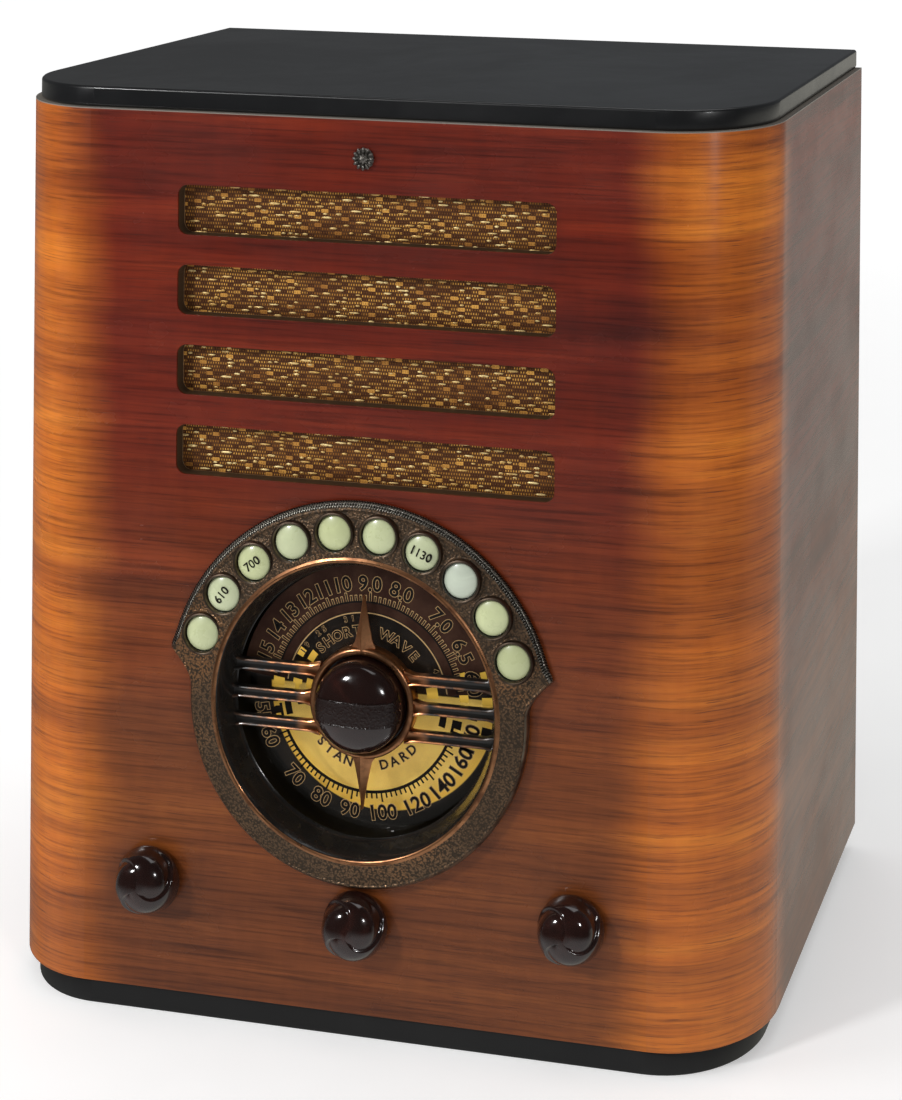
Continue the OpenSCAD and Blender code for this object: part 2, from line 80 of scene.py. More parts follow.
class Shape:
    """Gathers closed shells into one mesh, each face with its material number."""

    def __init__(self):
        self.verts = []
        self.faces = []
        self.looks = []

    def add(self, verts, faces, look=0):
        start = len(self.verts)
        self.verts.extend(map(tuple, verts))
        self.faces.extend(tuple(start + i for i in f) for f in faces)
        self.looks.extend([look] * len(faces) if np.isscalar(look) else list(look))

    def skin(self, grid, wrap_u=True, wrap_v=True, look=0):
        """Quads over a grid of (x, d, z) points; look may name one material for each column of quads."""
        grid = np.asarray(grid, float)
        nu, nv = grid.shape[:2]
        idx = np.arange(nu * nv).reshape(nu, nv)
        iu = np.arange(nu if wrap_u else nu - 1)
        iv = np.arange(nv if wrap_v else nv - 1)
        u, v = np.meshgrid(iu, iv, indexing="ij")
        u2, v2 = (u + 1) % nu, (v + 1) % nv
        quads = np.stack([idx[u, v], idx[u2, v], idx[u2, v2], idx[u, v2]], -1).reshape(-1, 4)
        looks = look if np.isscalar(look) else np.tile(np.asarray(look)[iv], len(iu))
        self.add(grid.reshape(-1, 3), quads.tolist(), looks)

    def turn(self, profile, x=0.0, z=0.0, steps=96, look=0):
        """Profile of (radius, d) points turned about a depth axis through (x, z)."""
        a = all_round(steps)
        r, d = np.array(profile, float).T
        grid = np.stack([x + r * np.sin(a), d + 0 * a, z + r * np.cos(a)], -1)
        self.skin(grid, True, profile[0][0] > 0 or profile[-1][0] > 0, look)

    def stand(self, profile, x, d, steps=48, look=0):
        """Profile of (radius, z) points turned about an upright axis through (x, d)."""
        a = all_round(steps)
        r, z = np.array(profile, float).T
        grid = np.stack([x + r * np.cos(a), d + r * np.sin(a), z + 0 * a], -1)
        self.skin(grid, True, profile[0][0] > 0 or profile[-1][0] > 0, look)

    def sweep(self, path, radius, steps=10, look=0):
        """Round wire along a path of (x, d, z) points, closed at both ends."""
        path = np.asarray(path, float)
        tangent = np.gradient(path, axis=0)
        tangent /= np.linalg.norm(tangent, axis=1)[:, None]
        up = np.array([0.1, 0.2, 1.0])
        side = np.cross(tangent, up)
        side /= np.linalg.norm(side, axis=1)[:, None]
        other = np.cross(side, tangent)
        a = all_round(steps)
        rings = path[:, None] + radius * (np.cos(a) * side[:, None] + np.sin(a) * other[:, None])
        ends = [np.repeat(path[:1], steps, 0)[None], rings, np.repeat(path[-1:], steps, 0)[None]]
        self.skin(np.concatenate(ends), False, True, look)

    def loft(self, rings, look=0):
        """Tube through equal rings of (x, d, z) points, with a flat cap at each end."""
        first = len(self.verts)
        n = len(rings[0])
        self.skin(np.array(rings), False, True, look)
        last = len(self.verts)
        self.faces.append(tuple(range(first, first + n)))
        self.faces.append(tuple(range(last - n, last)))
        self.looks.extend([look, look])

    def make(self, name, looks, body, stands_for=(), sharp=38):
        """Turns the shells into one object that rides on a body."""
        mesh = bpy.data.meshes.new(name)
        mesh.from_pydata(place(self.verts).tolist(), [], self.faces)
        for look in looks:
            mesh.materials.append(look)
        mesh.polygons.foreach_set("material_index", self.looks)
        tidy = bmesh.new()
        tidy.from_mesh(mesh)
        bmesh.ops.remove_doubles(tidy, verts=tidy.verts, dist=2e-6)
        bmesh.ops.dissolve_degenerate(tidy, edges=tidy.edges, dist=1e-7)
        bmesh.ops.recalc_face_normals(tidy, faces=tidy.faces)
        tidy.to_mesh(mesh)
        tidy.free()
        mesh.polygons.foreach_set("use_smooth", [True] * len(mesh.polygons))
        mesh.set_sharp_from_angle(angle=math.radians(sharp))
        piece = bpy.data.objects.new(name, mesh)
        bpy.context.scene.collection.objects.link(piece)
        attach(piece, body)
        if stands_for:
            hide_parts(*stands_for)
        return piece


def soften(piece, width):
    """Rounds the sharp edges of a piece with modifiers; its own mesh stays as it is."""
    weld = piece.modifiers.new("weld", "WELD")
    weld.merge_threshold = 1e-5
    flat = piece.modifiers.new("flat", "DECIMATE")
    flat.decimate_type = "DISSOLVE"
    flat.angle_limit = math.radians(1.0)
    bevel = piece.modifiers.new("bevel", "BEVEL")
    bevel.width = width * MM
    bevel.segments = 3
    bevel.limit_method = "ANGLE"
    bevel.angle_limit = math.radians(35)
    bevel.harden_normals = True


def cut(piece, cutter):
    """Subtracts the cutter from a piece for good."""
    hole = piece.modifiers.new("hole", "BOOLEAN")
    hole.operation = "DIFFERENCE"
    hole.solver = "MANIFOLD"
    hole.object = cutter
    mesh = bpy.data.meshes.new_from_object(piece.evaluated_get(bpy.context.evaluated_depsgraph_get()))
    piece.modifiers.clear()
    piece.data = mesh
    bpy.data.objects.remove(cutter)


def smooth(a, b, x):
    """0 before a, 1 after b and an S-curve between."""
    t = np.clip((np.asarray(x, float) - a) / (b - a), 0, 1)
    return t * t * (3 - 2 * t)


# ---- Materials ----

class Value:
    """Output of a node. Arithmetic with values and numbers adds the nodes that work it out."""

    def __init__(self, look, socket):
        self.look = look
        self.socket = socket

    def __add__(self, other):
        return self.look.math("ADD", self, other)

    def __sub__(self, other):
        return self.look.math("SUBTRACT", self, other)

    def __rsub__(self, other):
        return self.look.math("SUBTRACT", other, self)

    def __mul__(self, other):
        return self.look.math("MULTIPLY", self, other)

    def __truediv__(self, other):
        return self.look.math("DIVIDE", self, other)

    __radd__ = __add__
    __rmul__ = __mul__


class Look:
    """Nodes of a material, or of a world. Most methods add a node and return its output as a Value."""

    def __init__(self, name, world=None):
        self.material = world or bpy.data.materials.new(name)
        self.material.use_nodes = True
        self.tree = self.material.node_tree
        self.shader = self.tree.nodes["Background" if world else "Principled BSDF"]

    def put(self, socket, value):
        if isinstance(value, Value):
            self.tree.links.new(value.socket, socket)
        else:
            socket.default_value = value

    def add(self, kind, inputs=(), output=0, **settings):
        node = self.tree.nodes.new("ShaderNode" + kind)
        for key, value in settings.items():
            setattr(node, key, value)
        for key, value in dict(inputs).items():
            self.put(node.inputs[key], value)
        return Value(self, node.outputs[output])

    def set(self, **values):
        """Principled inputs, with underscores for spaces."""
        for key, value in values.items():
            self.put(self.shader.inputs[key.replace("_", " ")], value)
        return self

    def finish(self, shader):
        """Makes a mixed shader the material's surface."""
        self.put(self.tree.nodes["Material Output"].inputs[0], shader)

    def spot(self, scale=1.0):
        """Position in the frame, in metres, times one scale or a scale for each axis."""
        coords = self.add("TexCoord", output=3)
        return self.add("Mapping", {"Vector": coords, "Scale": (scale,) * 3 if np.isscalar(scale) else scale})

    def axis(self, which):
        return self.add("SeparateXYZ", {0: self.add("TexCoord", output=3)}, "XYZ".index(which))

    def noise(self, scale, detail, rough, bend=0.0):
        """Noise with about scale patches to the metre; scale may be one number or one for each axis."""
        inputs = {"Scale": 1.0, "Detail": detail, "Roughness": rough, "Distortion": bend}
        return self.add("TexNoise", {"Vector": self.spot(scale), **inputs})

    def cells(self, where, scale, feature="F1"):
        return self.add("TexVoronoi", {"Vector": where, "Scale": scale}, feature=feature)

    def math(self, kind, a, b=0.0, c=0.0):
        return self.add("Math", {0: a, 1: b, 2: c}, operation=kind)

    def reach(self, a, b):
        """Distance from nought of a point whose two coordinates are a and b."""
        return self.math("SQRT", a * a + b * b)

    def span(self, value, low, high, to_low=0.0, to_high=1.0):
        """Maps low..high smoothly to to_low..to_high, clamped."""
        inputs = {0: value, 1: low, 2: high, 3: to_low, 4: to_high}
        return self.add("MapRange", inputs, interpolation_type="SMOOTHSTEP")

    def ramp(self, factor, stops):
        node = self.tree.nodes.new("ShaderNodeValToRGB")
        self.put(node.inputs[0], factor)
        for _ in stops[2:]:
            node.color_ramp.elements.new(0.5)
        for element, (at, colour) in zip(node.color_ramp.elements, stops):
            element.position = at
            element.color = (*colour, 1)
        return Value(self, node.outputs[0])

    def mix(self, factor, a, b, blend="MIX"):
        node = self.tree.nodes.new("ShaderNodeMix")
        node.data_type = "RGBA"
        node.blend_type = blend
        for socket, value in zip((0, 6, 7), (factor, a, b)):
            if isinstance(value, tuple):
                value = (*value, 1)
            self.put(node.inputs[socket], value)
        return Value(self, node.outputs[2])

    def fade(self, value, low, high, a, b):
        """Colour a where the value is at low, and b where it is at high."""
        return self.mix(self.span(value, low, high), a, b)

    def bump(self, height, distance_mm, strength=1.0, over=None):
        inputs = {"Height": height, "Distance": distance_mm * MM, "Strength": strength}
        if over is not None:
            inputs["Normal"] = over
        return self.add("Bump", inputs)


def grained(look, stretch, scale, fine=1.0):
    """Three noises of a grain that runs along x and y: broad bands, narrow bands and fine streaks."""
    broad = look.noise((stretch, stretch, scale * 0.09), 3, 0.6, 0.6)
    band = look.noise((stretch * 1.6, stretch * 1.6, scale * 0.35), 4, 0.6, 0.5)
    streak = look.noise((stretch * 9, stretch * 9, scale * fine), 5, 0.65, 0.2)
    return broad, band, streak


def three_tones(look, value, dark, middle, pale):
    return look.ramp(value, [(0.33, dark), (0.50, middle), (0.68, pale)])


def veneer():
    """Red at the top, brown lower down and a painted orange sheen on the round corners, over the plywood's
    own layers.
    """
    look = Look("veneer_across")
    broad, band, streak = grained(look, 2.2, 260, 2.6)
    pores = look.noise((55, 55, 2300), 2, 0.5)
    x = look.math("ABSOLUTE", look.axis("X"))
    y = look.axis("Y")
    z = look.axis("Z")
    ripple = look.noise((120, 120, 38), 3, 0.6)
    figure = 0.50 * broad + 0.40 * band + 0.10 * ripple
    red = three_tones(look, figure, (0.060, 0.006, 0.003), (0.128, 0.010, 0.002), (0.215, 0.022, 0.003))
    brown = three_tones(look, figure, (0.088, 0.021, 0.005), (0.166, 0.042, 0.008), (0.27, 0.076, 0.012))
    # Orange colours of the painted sheen on the round corners.
    corner_sheen = three_tones(look, figure, (0.31, 0.062, 0.004), (0.52, 0.128, 0.006), (0.72, 0.220, 0.013))
    low = look.span(z + 0.12 * broad, 0.34, 0.15)
    body = look.mix(low, red, brown)
    fade = x + 0.03 * (broad - 0.5) - 0.035 * (z - 0.2)
    # Painted sheen: orange covers the round corners for the light caught in the wood there, and its front
    # boundary wanders with the grain.
    edge = look.span(fade, 0.110, 0.147) * look.span(y, FRONT + 0.062, FRONT + 0.030)
    patchy = look.span(look.noise((1.5, 1.5, 34), 4, 0.6, 0.4), 0.34, 0.60, 0.55, 1.0)
    body = look.mix(edge * patchy, body, corner_sheen)
    body = look.mix(look.span(streak, 0.40, 0.75, 0.0, 0.55), body, (0.05, 0.012, 0.006), "MULTIPLY")
    body = look.mix(look.span(pores, 0.60, 0.72, 0.0, 0.6), body, (0.045, 0.012, 0.008))
    # Distance below the bent outer surface tells veneer from the stained edge and the bare inside.
    across = look.math("MAXIMUM", x - (HALF_WIDTH - CORNER_R), 0.0)
    back = look.math("MAXIMUM", FRONT + CORNER_R - y, 0.0)
    under = CORNER_R - look.reach(across, back)
    ply = look.noise((14, 14, 900), 4, 0.6)
    bare = look.ramp(ply, [(0.3, (0.30, 0.17, 0.08)), (0.7, (0.52, 0.34, 0.18))])
    stained = look.mix(0.5, (0.110, 0.072, 0.040), body, "MULTIPLY")
    inside = look.span(under, 0.0006, 0.0012)
    colour = look.mix(inside, body, stained)
    colour = look.fade(under, 0.0060, 0.0063, colour, bare)
    # The wrap's top edge is a pale grey line under the top board: its bare edge, with a painted reflection of
    # light along the ledge.
    colour = look.fade(z, 0.3904, 0.3908, colour, (0.20, 0.18, 0.155))
    smear = look.noise((9, 9, 14), 5, 0.6)
    grooves = look.bump(streak, 0.05, 0.25, look.bump(pores, 0.03, 0.3))
    look.set(Base_Color=colour, Roughness=look.span(smear, 0.3, 0.7, 0.45, 0.60), Normal=grooves,
             Coat_Weight=0.9 * (1.0 - inside), Coat_IOR=1.5,
             Coat_Roughness=look.span(smear, 0.3, 0.7, 0.20, 0.31), Specular_IOR_Level=0.1)
    return look.material


def bare_wood(name, pale, dark, across=12.0):
    look = Look(name)
    broad, band, streak = grained(look, across, 420, 2.0)
    colour = look.ramp(0.6 * band + 0.4 * streak, [(0.3, dark), (0.7, pale)])
    look.set(Base_Color=colour, Roughness=0.75, Normal=look.bump(streak, 0.08, 0.5))
    return look.material


def lacquer(name, colour, rough, coat, dust):
    """Dark painted wood, with handling haze, fine dust specks and a slight orange-peel surface."""
    look = Look(name)
    haze = look.noise(11, 6, 0.62, 0.4)
    speck = look.cells(look.spot(), 900.0)
    dusty = look.mix(look.span(speck, 0.10, 0.03, 0.0, dust), colour, (0.32, 0.32, 0.31))
    tone = look.mix(look.span(haze, 0.42, 0.72, 0.0, 0.5), dusty, tuple(c * 1.6 + 0.002 for c in colour))
    peel = look.noise(620.0, 2, 0.5)
    look.set(Base_Color=tone, Roughness=look.span(haze, 0.3, 0.7, rough, rough + 0.14), Coat_Weight=coat,
             Coat_Roughness=look.span(haze, 0.3, 0.7, 0.07, 0.2), Normal=look.bump(peel, 0.03, 0.2))
    return look.material


def hammered(name, hollow, crest, worn, size_mm):
    """Cast metal with rounded pebbles, dark between them, rubbed bright on top, and worn to orange copper in
    places, patches that also serve as painted glints.
    """
    look = Look(name)
    warp = look.noise(420.0, 2, 0.5)
    push = look.add("CombineXYZ", {0: 0.0016 * warp, 2: -0.0013 * warp})
    where = look.add("VectorMath", {0: look.spot(), 1: push}, operation="ADD")
    pebble = look.cells(where, 1000.0 / size_mm, "SMOOTH_F1")
    age = look.noise(16, 5, 0.6, 0.3)
    raised = look.span(pebble, 0.60, 0.20)
    rubbed = raised * look.span(age, 0.40, 0.66, 0.45, 1.0)
    colour = look.mix(rubbed, hollow, crest)
    # Orange copper patches on the pebble tops: worn metal, and painted glints as well.
    colour = look.mix(raised * look.span(age, 0.52, 0.66, 0.0, 0.75), colour, worn)
    look.set(Base_Color=colour, Metallic=0.85, Roughness=look.span(rubbed, 0.0, 1.0, 0.52, 0.30),
             Normal=look.bump(pebble, -0.30, 1.0))
    return look.material


def rubbed_metal(name, colour, dark, rough=0.28, metal=1.0, scale=60.0, brushed=0.0):
    """Plain metal with tarnish patches and fine scratches."""
    look = Look(name)
    age = look.noise(scale, 6, 0.65, 0.3)
    scratch = look.noise((300, 300, 2200), 3, 0.6)
    tone = look.fade(age, 0.38, 0.72, colour, dark)
    if brushed:
        tone = look.mix(look.span(scratch, 0.4, 0.7, 0.0, brushed), tone, dark)
    look.set(Base_Color=tone, Metallic=metal, Roughness=look.span(age, 0.35, 0.7, rough, rough + 0.22),
             Normal=look.bump(scratch, 0.02, 0.35))
    return look.material


def moulded(name, colour, second, rough=0.10, coat=1.0, mottling=0.5):
    """Moulded plastic with faint flow marks and fingerprints in the shine."""
    look = Look(name)
    flow = look.noise(60, 5, 0.6, 1.2)
    film = look.noise(140, 4, 0.6)
    look.set(Base_Color=look.mix(look.span(flow, 0.45, 0.75, 0.0, mottling), colour, second),
             Roughness=look.span(film, 0.35, 0.75, rough, rough + 0.12), Coat_Weight=coat,
             Coat_Roughness=look.span(film, 0.35, 0.75, 0.03, 0.12), Specular_IOR_Level=0.6 if coat else 0.15,
             Normal=look.bump(film, 0.02, 0.15))
    return look.material


def knurled():
    """Cross-cut grip on the edge of the crescent, dark in the cuts and bright on the points."""
    look = Look("knurled_edge")
    x = look.axis("X")
    z = look.axis("Z") - DIAL_Z * MM
    turn = look.math("ARCTAN2", x, z)
    across = look.reach(x, z) - look.axis("Y")
    round_cuts = look.math("SINE", turn * (2 * math.pi / math.radians(0.8)))
    long_cuts = look.math("COSINE", across * (2 * math.pi / (1.5 * MM)))
    points = round_cuts * long_cuts
    grip = look.math("LESS_THAN", look.math("ABSOLUTE", turn), math.radians(77.5))
    age = look.noise(90.0, 5, 0.6)
    plain = look.fade(age, 0.38, 0.7, (0.30, 0.25, 0.19), (0.09, 0.06, 0.045))
    cuts = look.fade(points, -0.25, 0.45, (0.018, 0.014, 0.011), (0.50, 0.47, 0.41))
    look.set(Base_Color=look.mix(grip, plain, cuts), Metallic=1.0, Roughness=0.33,
             Normal=look.bump(points * grip, 0.12, 1.0))
    return look.material


def thin_glass(name, tint, gloss, cloud=0.0):
    """Clear pane that lets light straight through, so that what is behind it is lit."""
    look = Look(name)
    film = look.noise(70, 5, 0.6)
    see = look.add("BsdfTransparent", {"Color": (*tint, 1)})
    rough = look.span(film, 0.3, 0.7, 0.01, 0.06)
    shine = look.add("BsdfGlossy", {"Color": (1, 1, 1, 1), "Roughness": rough})
    edge = look.add("Fresnel", {"IOR": gloss})
    mixed = look.add("MixShader", {0: edge, 1: see, 2: shine})
    if cloud:
        haze = look.add("BsdfDiffuse", {"Color": (0.5, 0.5, 0.48, 1)})
        mixed = look.add("MixShader", {0: look.span(film, 0.35, 0.8, 0.0, cloud), 1: mixed, 2: haze})
    look.finish(mixed)
    return look.material


VENEER = veneer()
PLY = bare_wood("plywood_inside", (0.52, 0.34, 0.18), (0.30, 0.17, 0.08))
PINE = bare_wood("pine_blocks", (0.60, 0.42, 0.23), (0.42, 0.26, 0.12), 5.0)
TOP_BLACK = lacquer("top_black_lacquer", (0.0055, 0.0058, 0.0065), 0.30, 0.5, 0.12)
BASE_BLACK = lacquer("base_black_paint", (0.0075, 0.0075, 0.0075), 0.45, 0.05, 0.10)
# Its last colour is the orange copper of the worn patches, which double as painted glints.
HAMMERED = hammered("hammered_bronze", (0.088, 0.064, 0.045), (0.34, 0.205, 0.115),
                    (0.50, 0.235, 0.095), 0.85)
COLLAR = rubbed_metal("button_collar", (0.20, 0.15, 0.11), (0.06, 0.04, 0.03), 0.30, 1.0, 80.0)
COPPER = rubbed_metal("worn_copper", (0.68, 0.32, 0.15), (0.28, 0.125, 0.065), 0.26, 1.0, 130.0)
EDGE_METAL = knurled()
ENAMEL = moulded("black_enamel", (0.009, 0.008, 0.007), (0.022, 0.017, 0.012), 0.20, 0.6, 0.7)
BAKELITE = moulded("dark_bakelite", (0.013, 0.0055, 0.0045), (0.035, 0.010, 0.007), 0.10, 1.0, 0.6)
STEEL = rubbed_metal("plated_steel", (0.50, 0.49, 0.45), (0.24, 0.22, 0.18), 0.36, 1.0, 30.0, 0.4)
ALUMINIUM = rubbed_metal("aluminium", (0.74, 0.74, 0.73), (0.45, 0.45, 0.44), 0.32, 1.0, 40.0, 0.4)
BRASS = rubbed_metal("brass", (0.70, 0.50, 0.20), (0.35, 0.23, 0.09), 0.28, 1.0, 70.0, 0.3)
DARK_STEEL = lacquer("enamelled_steel", (0.018, 0.018, 0.019), 0.32, 0.3, 0.3)
PHENOLIC = moulded("phenolic_sheet", (0.19, 0.085, 0.035), (0.11, 0.045, 0.02), 0.45, 0.1, 0.8)
BASE_BAKELITE = moulded("tube_base", (0.012, 0.010, 0.009), (0.03, 0.024, 0.02), 0.25, 0.4, 0.5)
PRINT_BLACK = moulded("dial_print_black", (0.008, 0.006, 0.005), (0.015, 0.012, 0.010), 0.5, 0.0)
PRINT_GOLD = moulded("dial_print_gold", (0.42, 0.27, 0.12), (0.30, 0.18, 0.08), 0.45, 0.0)
PANE = thin_glass("dial_pane", (0.985, 0.97, 0.94), 1.30)
BULB = thin_glass("lamp_glass", (0.95, 0.95, 0.93), 1.45)
ENVELOPE = thin_glass("tube_glass_envelope", (0.90, 0.91, 0.90), 1.45, 0.06)


# ---- Grille ----

# The weave: width and height of one woven block and pitch of the warp, in millimetres.
CELL = 3.1
ROW = 1.55
WARP = 1.15


def cloth_look():
    """Fine two-colour weave in brown and old gold, with darker woven blocks."""
    look = Look("grille_weave")
    sway = 0.0008 * look.noise(60, 3, 0.5)
    x = look.axis("X") + sway
    z = look.axis("Z") + sway
    column = look.math("FLOOR", x / (CELL * MM))
    row = look.math("FLOOR", z / (ROW * MM) + 0.5)
    turn = look.math("FLOORED_MODULO", 2.0 * column + 3.0 * row, 7.0)
    block = look.add("CombineXYZ", {0: column, 1: row})
    chance = look.add("TexWhiteNoise", {"Vector": block}, noise_dimensions="3D")
    warp = look.math("SINE", x * (2 * math.pi / (WARP * MM)) + row * math.pi)
    weft = look.math("COSINE", z * (2 * math.pi / (ROW * MM)))
    dot = look.span(warp, -0.2, 0.7) * look.span(weft, -0.5, 0.4)
    patch = look.noise((28, 28, 50), 3, 0.6)
    gold = look.fade(patch, 0.38, 0.62, (0.30, 0.115, 0.022), (0.72, 0.37, 0.075))
    colour = look.mix(dot, (0.085, 0.032, 0.009), gold)
    dark = look.math("COMPARE", turn, 2.0, 1.1) * look.span(chance, 0.25, 0.30)
    colour = look.mix(dark, colour, look.mix(dot, (0.055, 0.018, 0.006), (0.150, 0.058, 0.016)))
    bright = look.math("COMPARE", turn, 6.0, 0.5) * look.span(chance, 0.50, 0.55)
    colour = look.mix(bright, colour, look.mix(0.35, gold, (0.30, 0.14, 0.03)))
    look.set(Base_Color=colour, Roughness=0.6, Specular_IOR_Level=0.15,
             Metallic=0.3 * dot, Normal=look.bump(dot, 0.25, 0.8))
    return look.material


def slub_look():
    look = Look("gold_slub")
    twist = look.noise((900, 300, 2400), 3, 0.6)
    patch = look.noise((45, 45, 70), 2, 0.6)
    bright = look.fade(patch, 0.35, 0.65, (0.62, 0.36, 0.09), (0.98, 0.77, 0.36))
    look.set(Base_Color=look.fade(twist, 0.30, 0.60, (0.45, 0.27, 0.09), bright), Metallic=0.35,
             Roughness=0.36, Normal=look.bump(twist, 0.10, 0.6))
    return look.material


def cloth_sheet(low, high):
    """Stretched sheet, slightly uneven, over the box from low to high."""
    nx, nz = 161, 89
    x, z = np.meshgrid(np.linspace(low[0], high[0], nx), np.linspace(low[2], high[2], nz), indexing="ij")
    sag = 0.10 * np.sin(x * 0.13 + z * 0.07) * np.sin(z * 0.19)
    front_face = np.stack([x, 6.62 + sag * 0.8, z], -1)
    back_face = np.stack([x, 6.92 + sag * 0.8, z], -1)
    cloth = Shape()
    cloth.loft(np.concatenate([front_face, back_face[:, ::-1]], 1))
    cloth.make("grille_cloth_sheet", [cloth_look()], "cabinet", ("grille_cloth",), 60)


def gold_slubs(low, high):
    """Raised gold threads lying in rows, where the four slots show them."""
    centre_z = (low[2] + high[2]) / 2
    slot_pitch, half_w = 34.46, 86.5
    slubs = Shape()
    a = all_round(8).T
    t = np.linspace(0, 1, 7)[:, None]
    bulk = np.sin(t * math.pi) ** 0.4
    for row in range(math.ceil(low[2] / ROW), math.floor(high[2] / ROW)):
        if min(abs(row * ROW - centre_z - slot_pitch * k) for k in (-1.5, -0.5, 0.5, 1.5)) > 12.0:
            continue
        for column in range(-28, 29):
            # A staircase repeat, with a few threads missing and a few extra.
            wanted = (2 * column + 3 * row) % 7 == 0
            if random.random() < (0.28 if wanted else 0.92):
                continue
            x0 = column * CELL + random.uniform(-0.4, 0.4)
            x1 = min(x0 + (random.choice((2.8, 3.8, 4.8, 5.4)) if wanted else 2.2), half_w)
            if x0 < -half_w or x1 - x0 < 1.0:
                continue
            lift = random.uniform(0.22, 0.36)
            half = random.uniform(0.34, 0.52)
            zz = row * ROW + random.uniform(-0.12, 0.12) + half * bulk * np.sin(a)
            d = 6.52 + lift * bulk * np.cos(a)
            slubs.skin(np.stack([x0 + (x1 - x0) * t + 0 * a, d, zz], -1), False, True)
    slubs.make("grille_gold_slubs", [slub_look()], "cabinet", (), 60)


def grille_cloth():
    low, high = (np.array(p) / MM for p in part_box("grille_cloth"))
    cloth_sheet(low, high)
    gold_slubs(low, high)


def rosette():
    """Small cast flower: a dished disc, twelve petals and a star-shaped middle."""
    low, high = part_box("rosette")
    z = (low.z + high.z) / 2 / MM
    flower = Shape()
    flower.turn([(0, 0.0), (4.3, 0.0), (4.5, -0.5), (4.1, -1.0), (2.9, -0.8), (0, -0.8)], 0, z, 48)
    a = all_round(12).T
    t = np.linspace(0, math.pi, 9)[:, None]
    for k in range(12):
        turn = k * math.pi / 6
        along = 3.75 - 1.25 * np.cos(t) + 0 * a
        side = 0.78 * np.sin(t) * np.cos(a) * (0.7 + 0.3 * (along / 5))
        d = -1.2 - 0.75 * np.sin(t) * np.sin(a)
        flower.skin(np.stack([along * math.sin(turn) + side * math.cos(turn), d,
                              z + along * math.cos(turn) - side * math.sin(turn)], -1), False, True)
    n = 64
    angle = all_round(n)
    r = np.array([[0.001, 0.8, 1.5, 2.1, 2.3, 2.3]]) * (1 + 0.16 * np.cos(8 * angle))
    d = np.array([[-2.3, -2.2, -1.9, -1.4, -1.1, -0.7]]) + 0 * angle
    star = np.stack([r * np.sin(angle), d, z + r * np.cos(angle)], -1)
    middle = np.stack([0 * angle[:, 0], np.full(n, -0.7), np.full(n, z)], -1)[:, None]
    flower.skin(np.concatenate([star, middle], 1), True, False)
    look = rubbed_metal("dark_pewter", (0.34, 0.32, 0.29), (0.08, 0.07, 0.06), 0.32, 1.0, 400.0)
    flower.make("rosette_flower", [look], "cabinet", ("rosette",), 45)


# ---- Dial ----

def rim_radius(angle):
    """Outer radius of the casting at an angle in degrees from the top."""
    a = np.abs(angle)
    crescent = 87.3 + 0.8 * smooth(71.5, 77.6, a) ** 2
    t = np.clip((a - 77.8) / 10.2, 0, 1)
    return np.where(a < 77.8, crescent, 76.0 + 12.6 * (1 - t) ** 2.2)


def button_spots():
    """Each station button's (x, z, degrees) round the dial's axis, clockwise from the left."""
    for i in range(BUTTON_COUNT):
        degrees = 90 + BUTTON_STEP * ((BUTTON_COUNT - 1) / 2 - i)
        a = math.radians(degrees)
        yield BUTTON_CIRCLE * math.cos(a), BUTTON_CIRCLE * math.sin(a), degrees


CASTING_LOOKS = [HAMMERED, ENAMEL, COPPER, EDGE_METAL]
FACE, WALL, BEAD, EDGE = range(4)


def casting_columns(outer, wrapped):
    """Section of the casting as (radius, depth, look) columns, from the back of the well round to the rim."""
    wall = ((60.6, 5.0), (59.0, 5.0), (58.0, 4.8), (57.9, 4.2), (58.6, 3.6), (59.2, 2.0), (60.0, -0.4),
            (60.9, -3.0), (61.7, -5.2), (62.3, -6.4))
    bead = ((62.7, -7.0), (63.1, -7.35), (63.6, -7.45), (64.1, -7.3), (64.5, -6.9))
    columns = [(r, d, WALL) for r, d in wall] + [(r, d, BEAD) for r, d in bead]
    # The face slopes back from the bead to a raised lip, and the milled edge rounds off outside it.
    inner_r, inner_d, slope = 64.9, -6.75, 0.17
    wide = smooth(80.0, 74.0, np.abs(wrapped))
    edge_w = 1.2 + 1.6 * wide
    width = outer - edge_w - inner_r
    for s in np.concatenate([np.linspace(0, 0.86, 24), np.linspace(0.875, 1, 9)]):
        r = inner_r + width * s
        raised = 0.45 * np.exp(-((r - (outer - edge_w - 0.5)) / 0.55) ** 2)
        columns.append((r, inner_d + slope * (r - inner_r) - raised, FACE))
    lip = inner_d + slope * width
    milled = 0.42 * wide * smooth(78.0, 76.5, np.abs(wrapped))
    phase = 2 * math.pi * wrapped / 0.8
    steps = ((0.12, 0.12, 0), (0.42, 0.42, 1), (0.72, 0.95, 1), (0.95, 1.55, 1), (1.0, 2.1, 0))
    for k, (s, drop, toothed) in enumerate(steps):
        bite = toothed * milled * np.cos(phase + k * math.pi * 0.9)
        columns.append((outer - edge_w * (1 - s) - bite * 0.6, lip + drop + bite, EDGE))
    return columns + [(outer, -1.2, EDGE), (64.4, -1.2, WALL)]


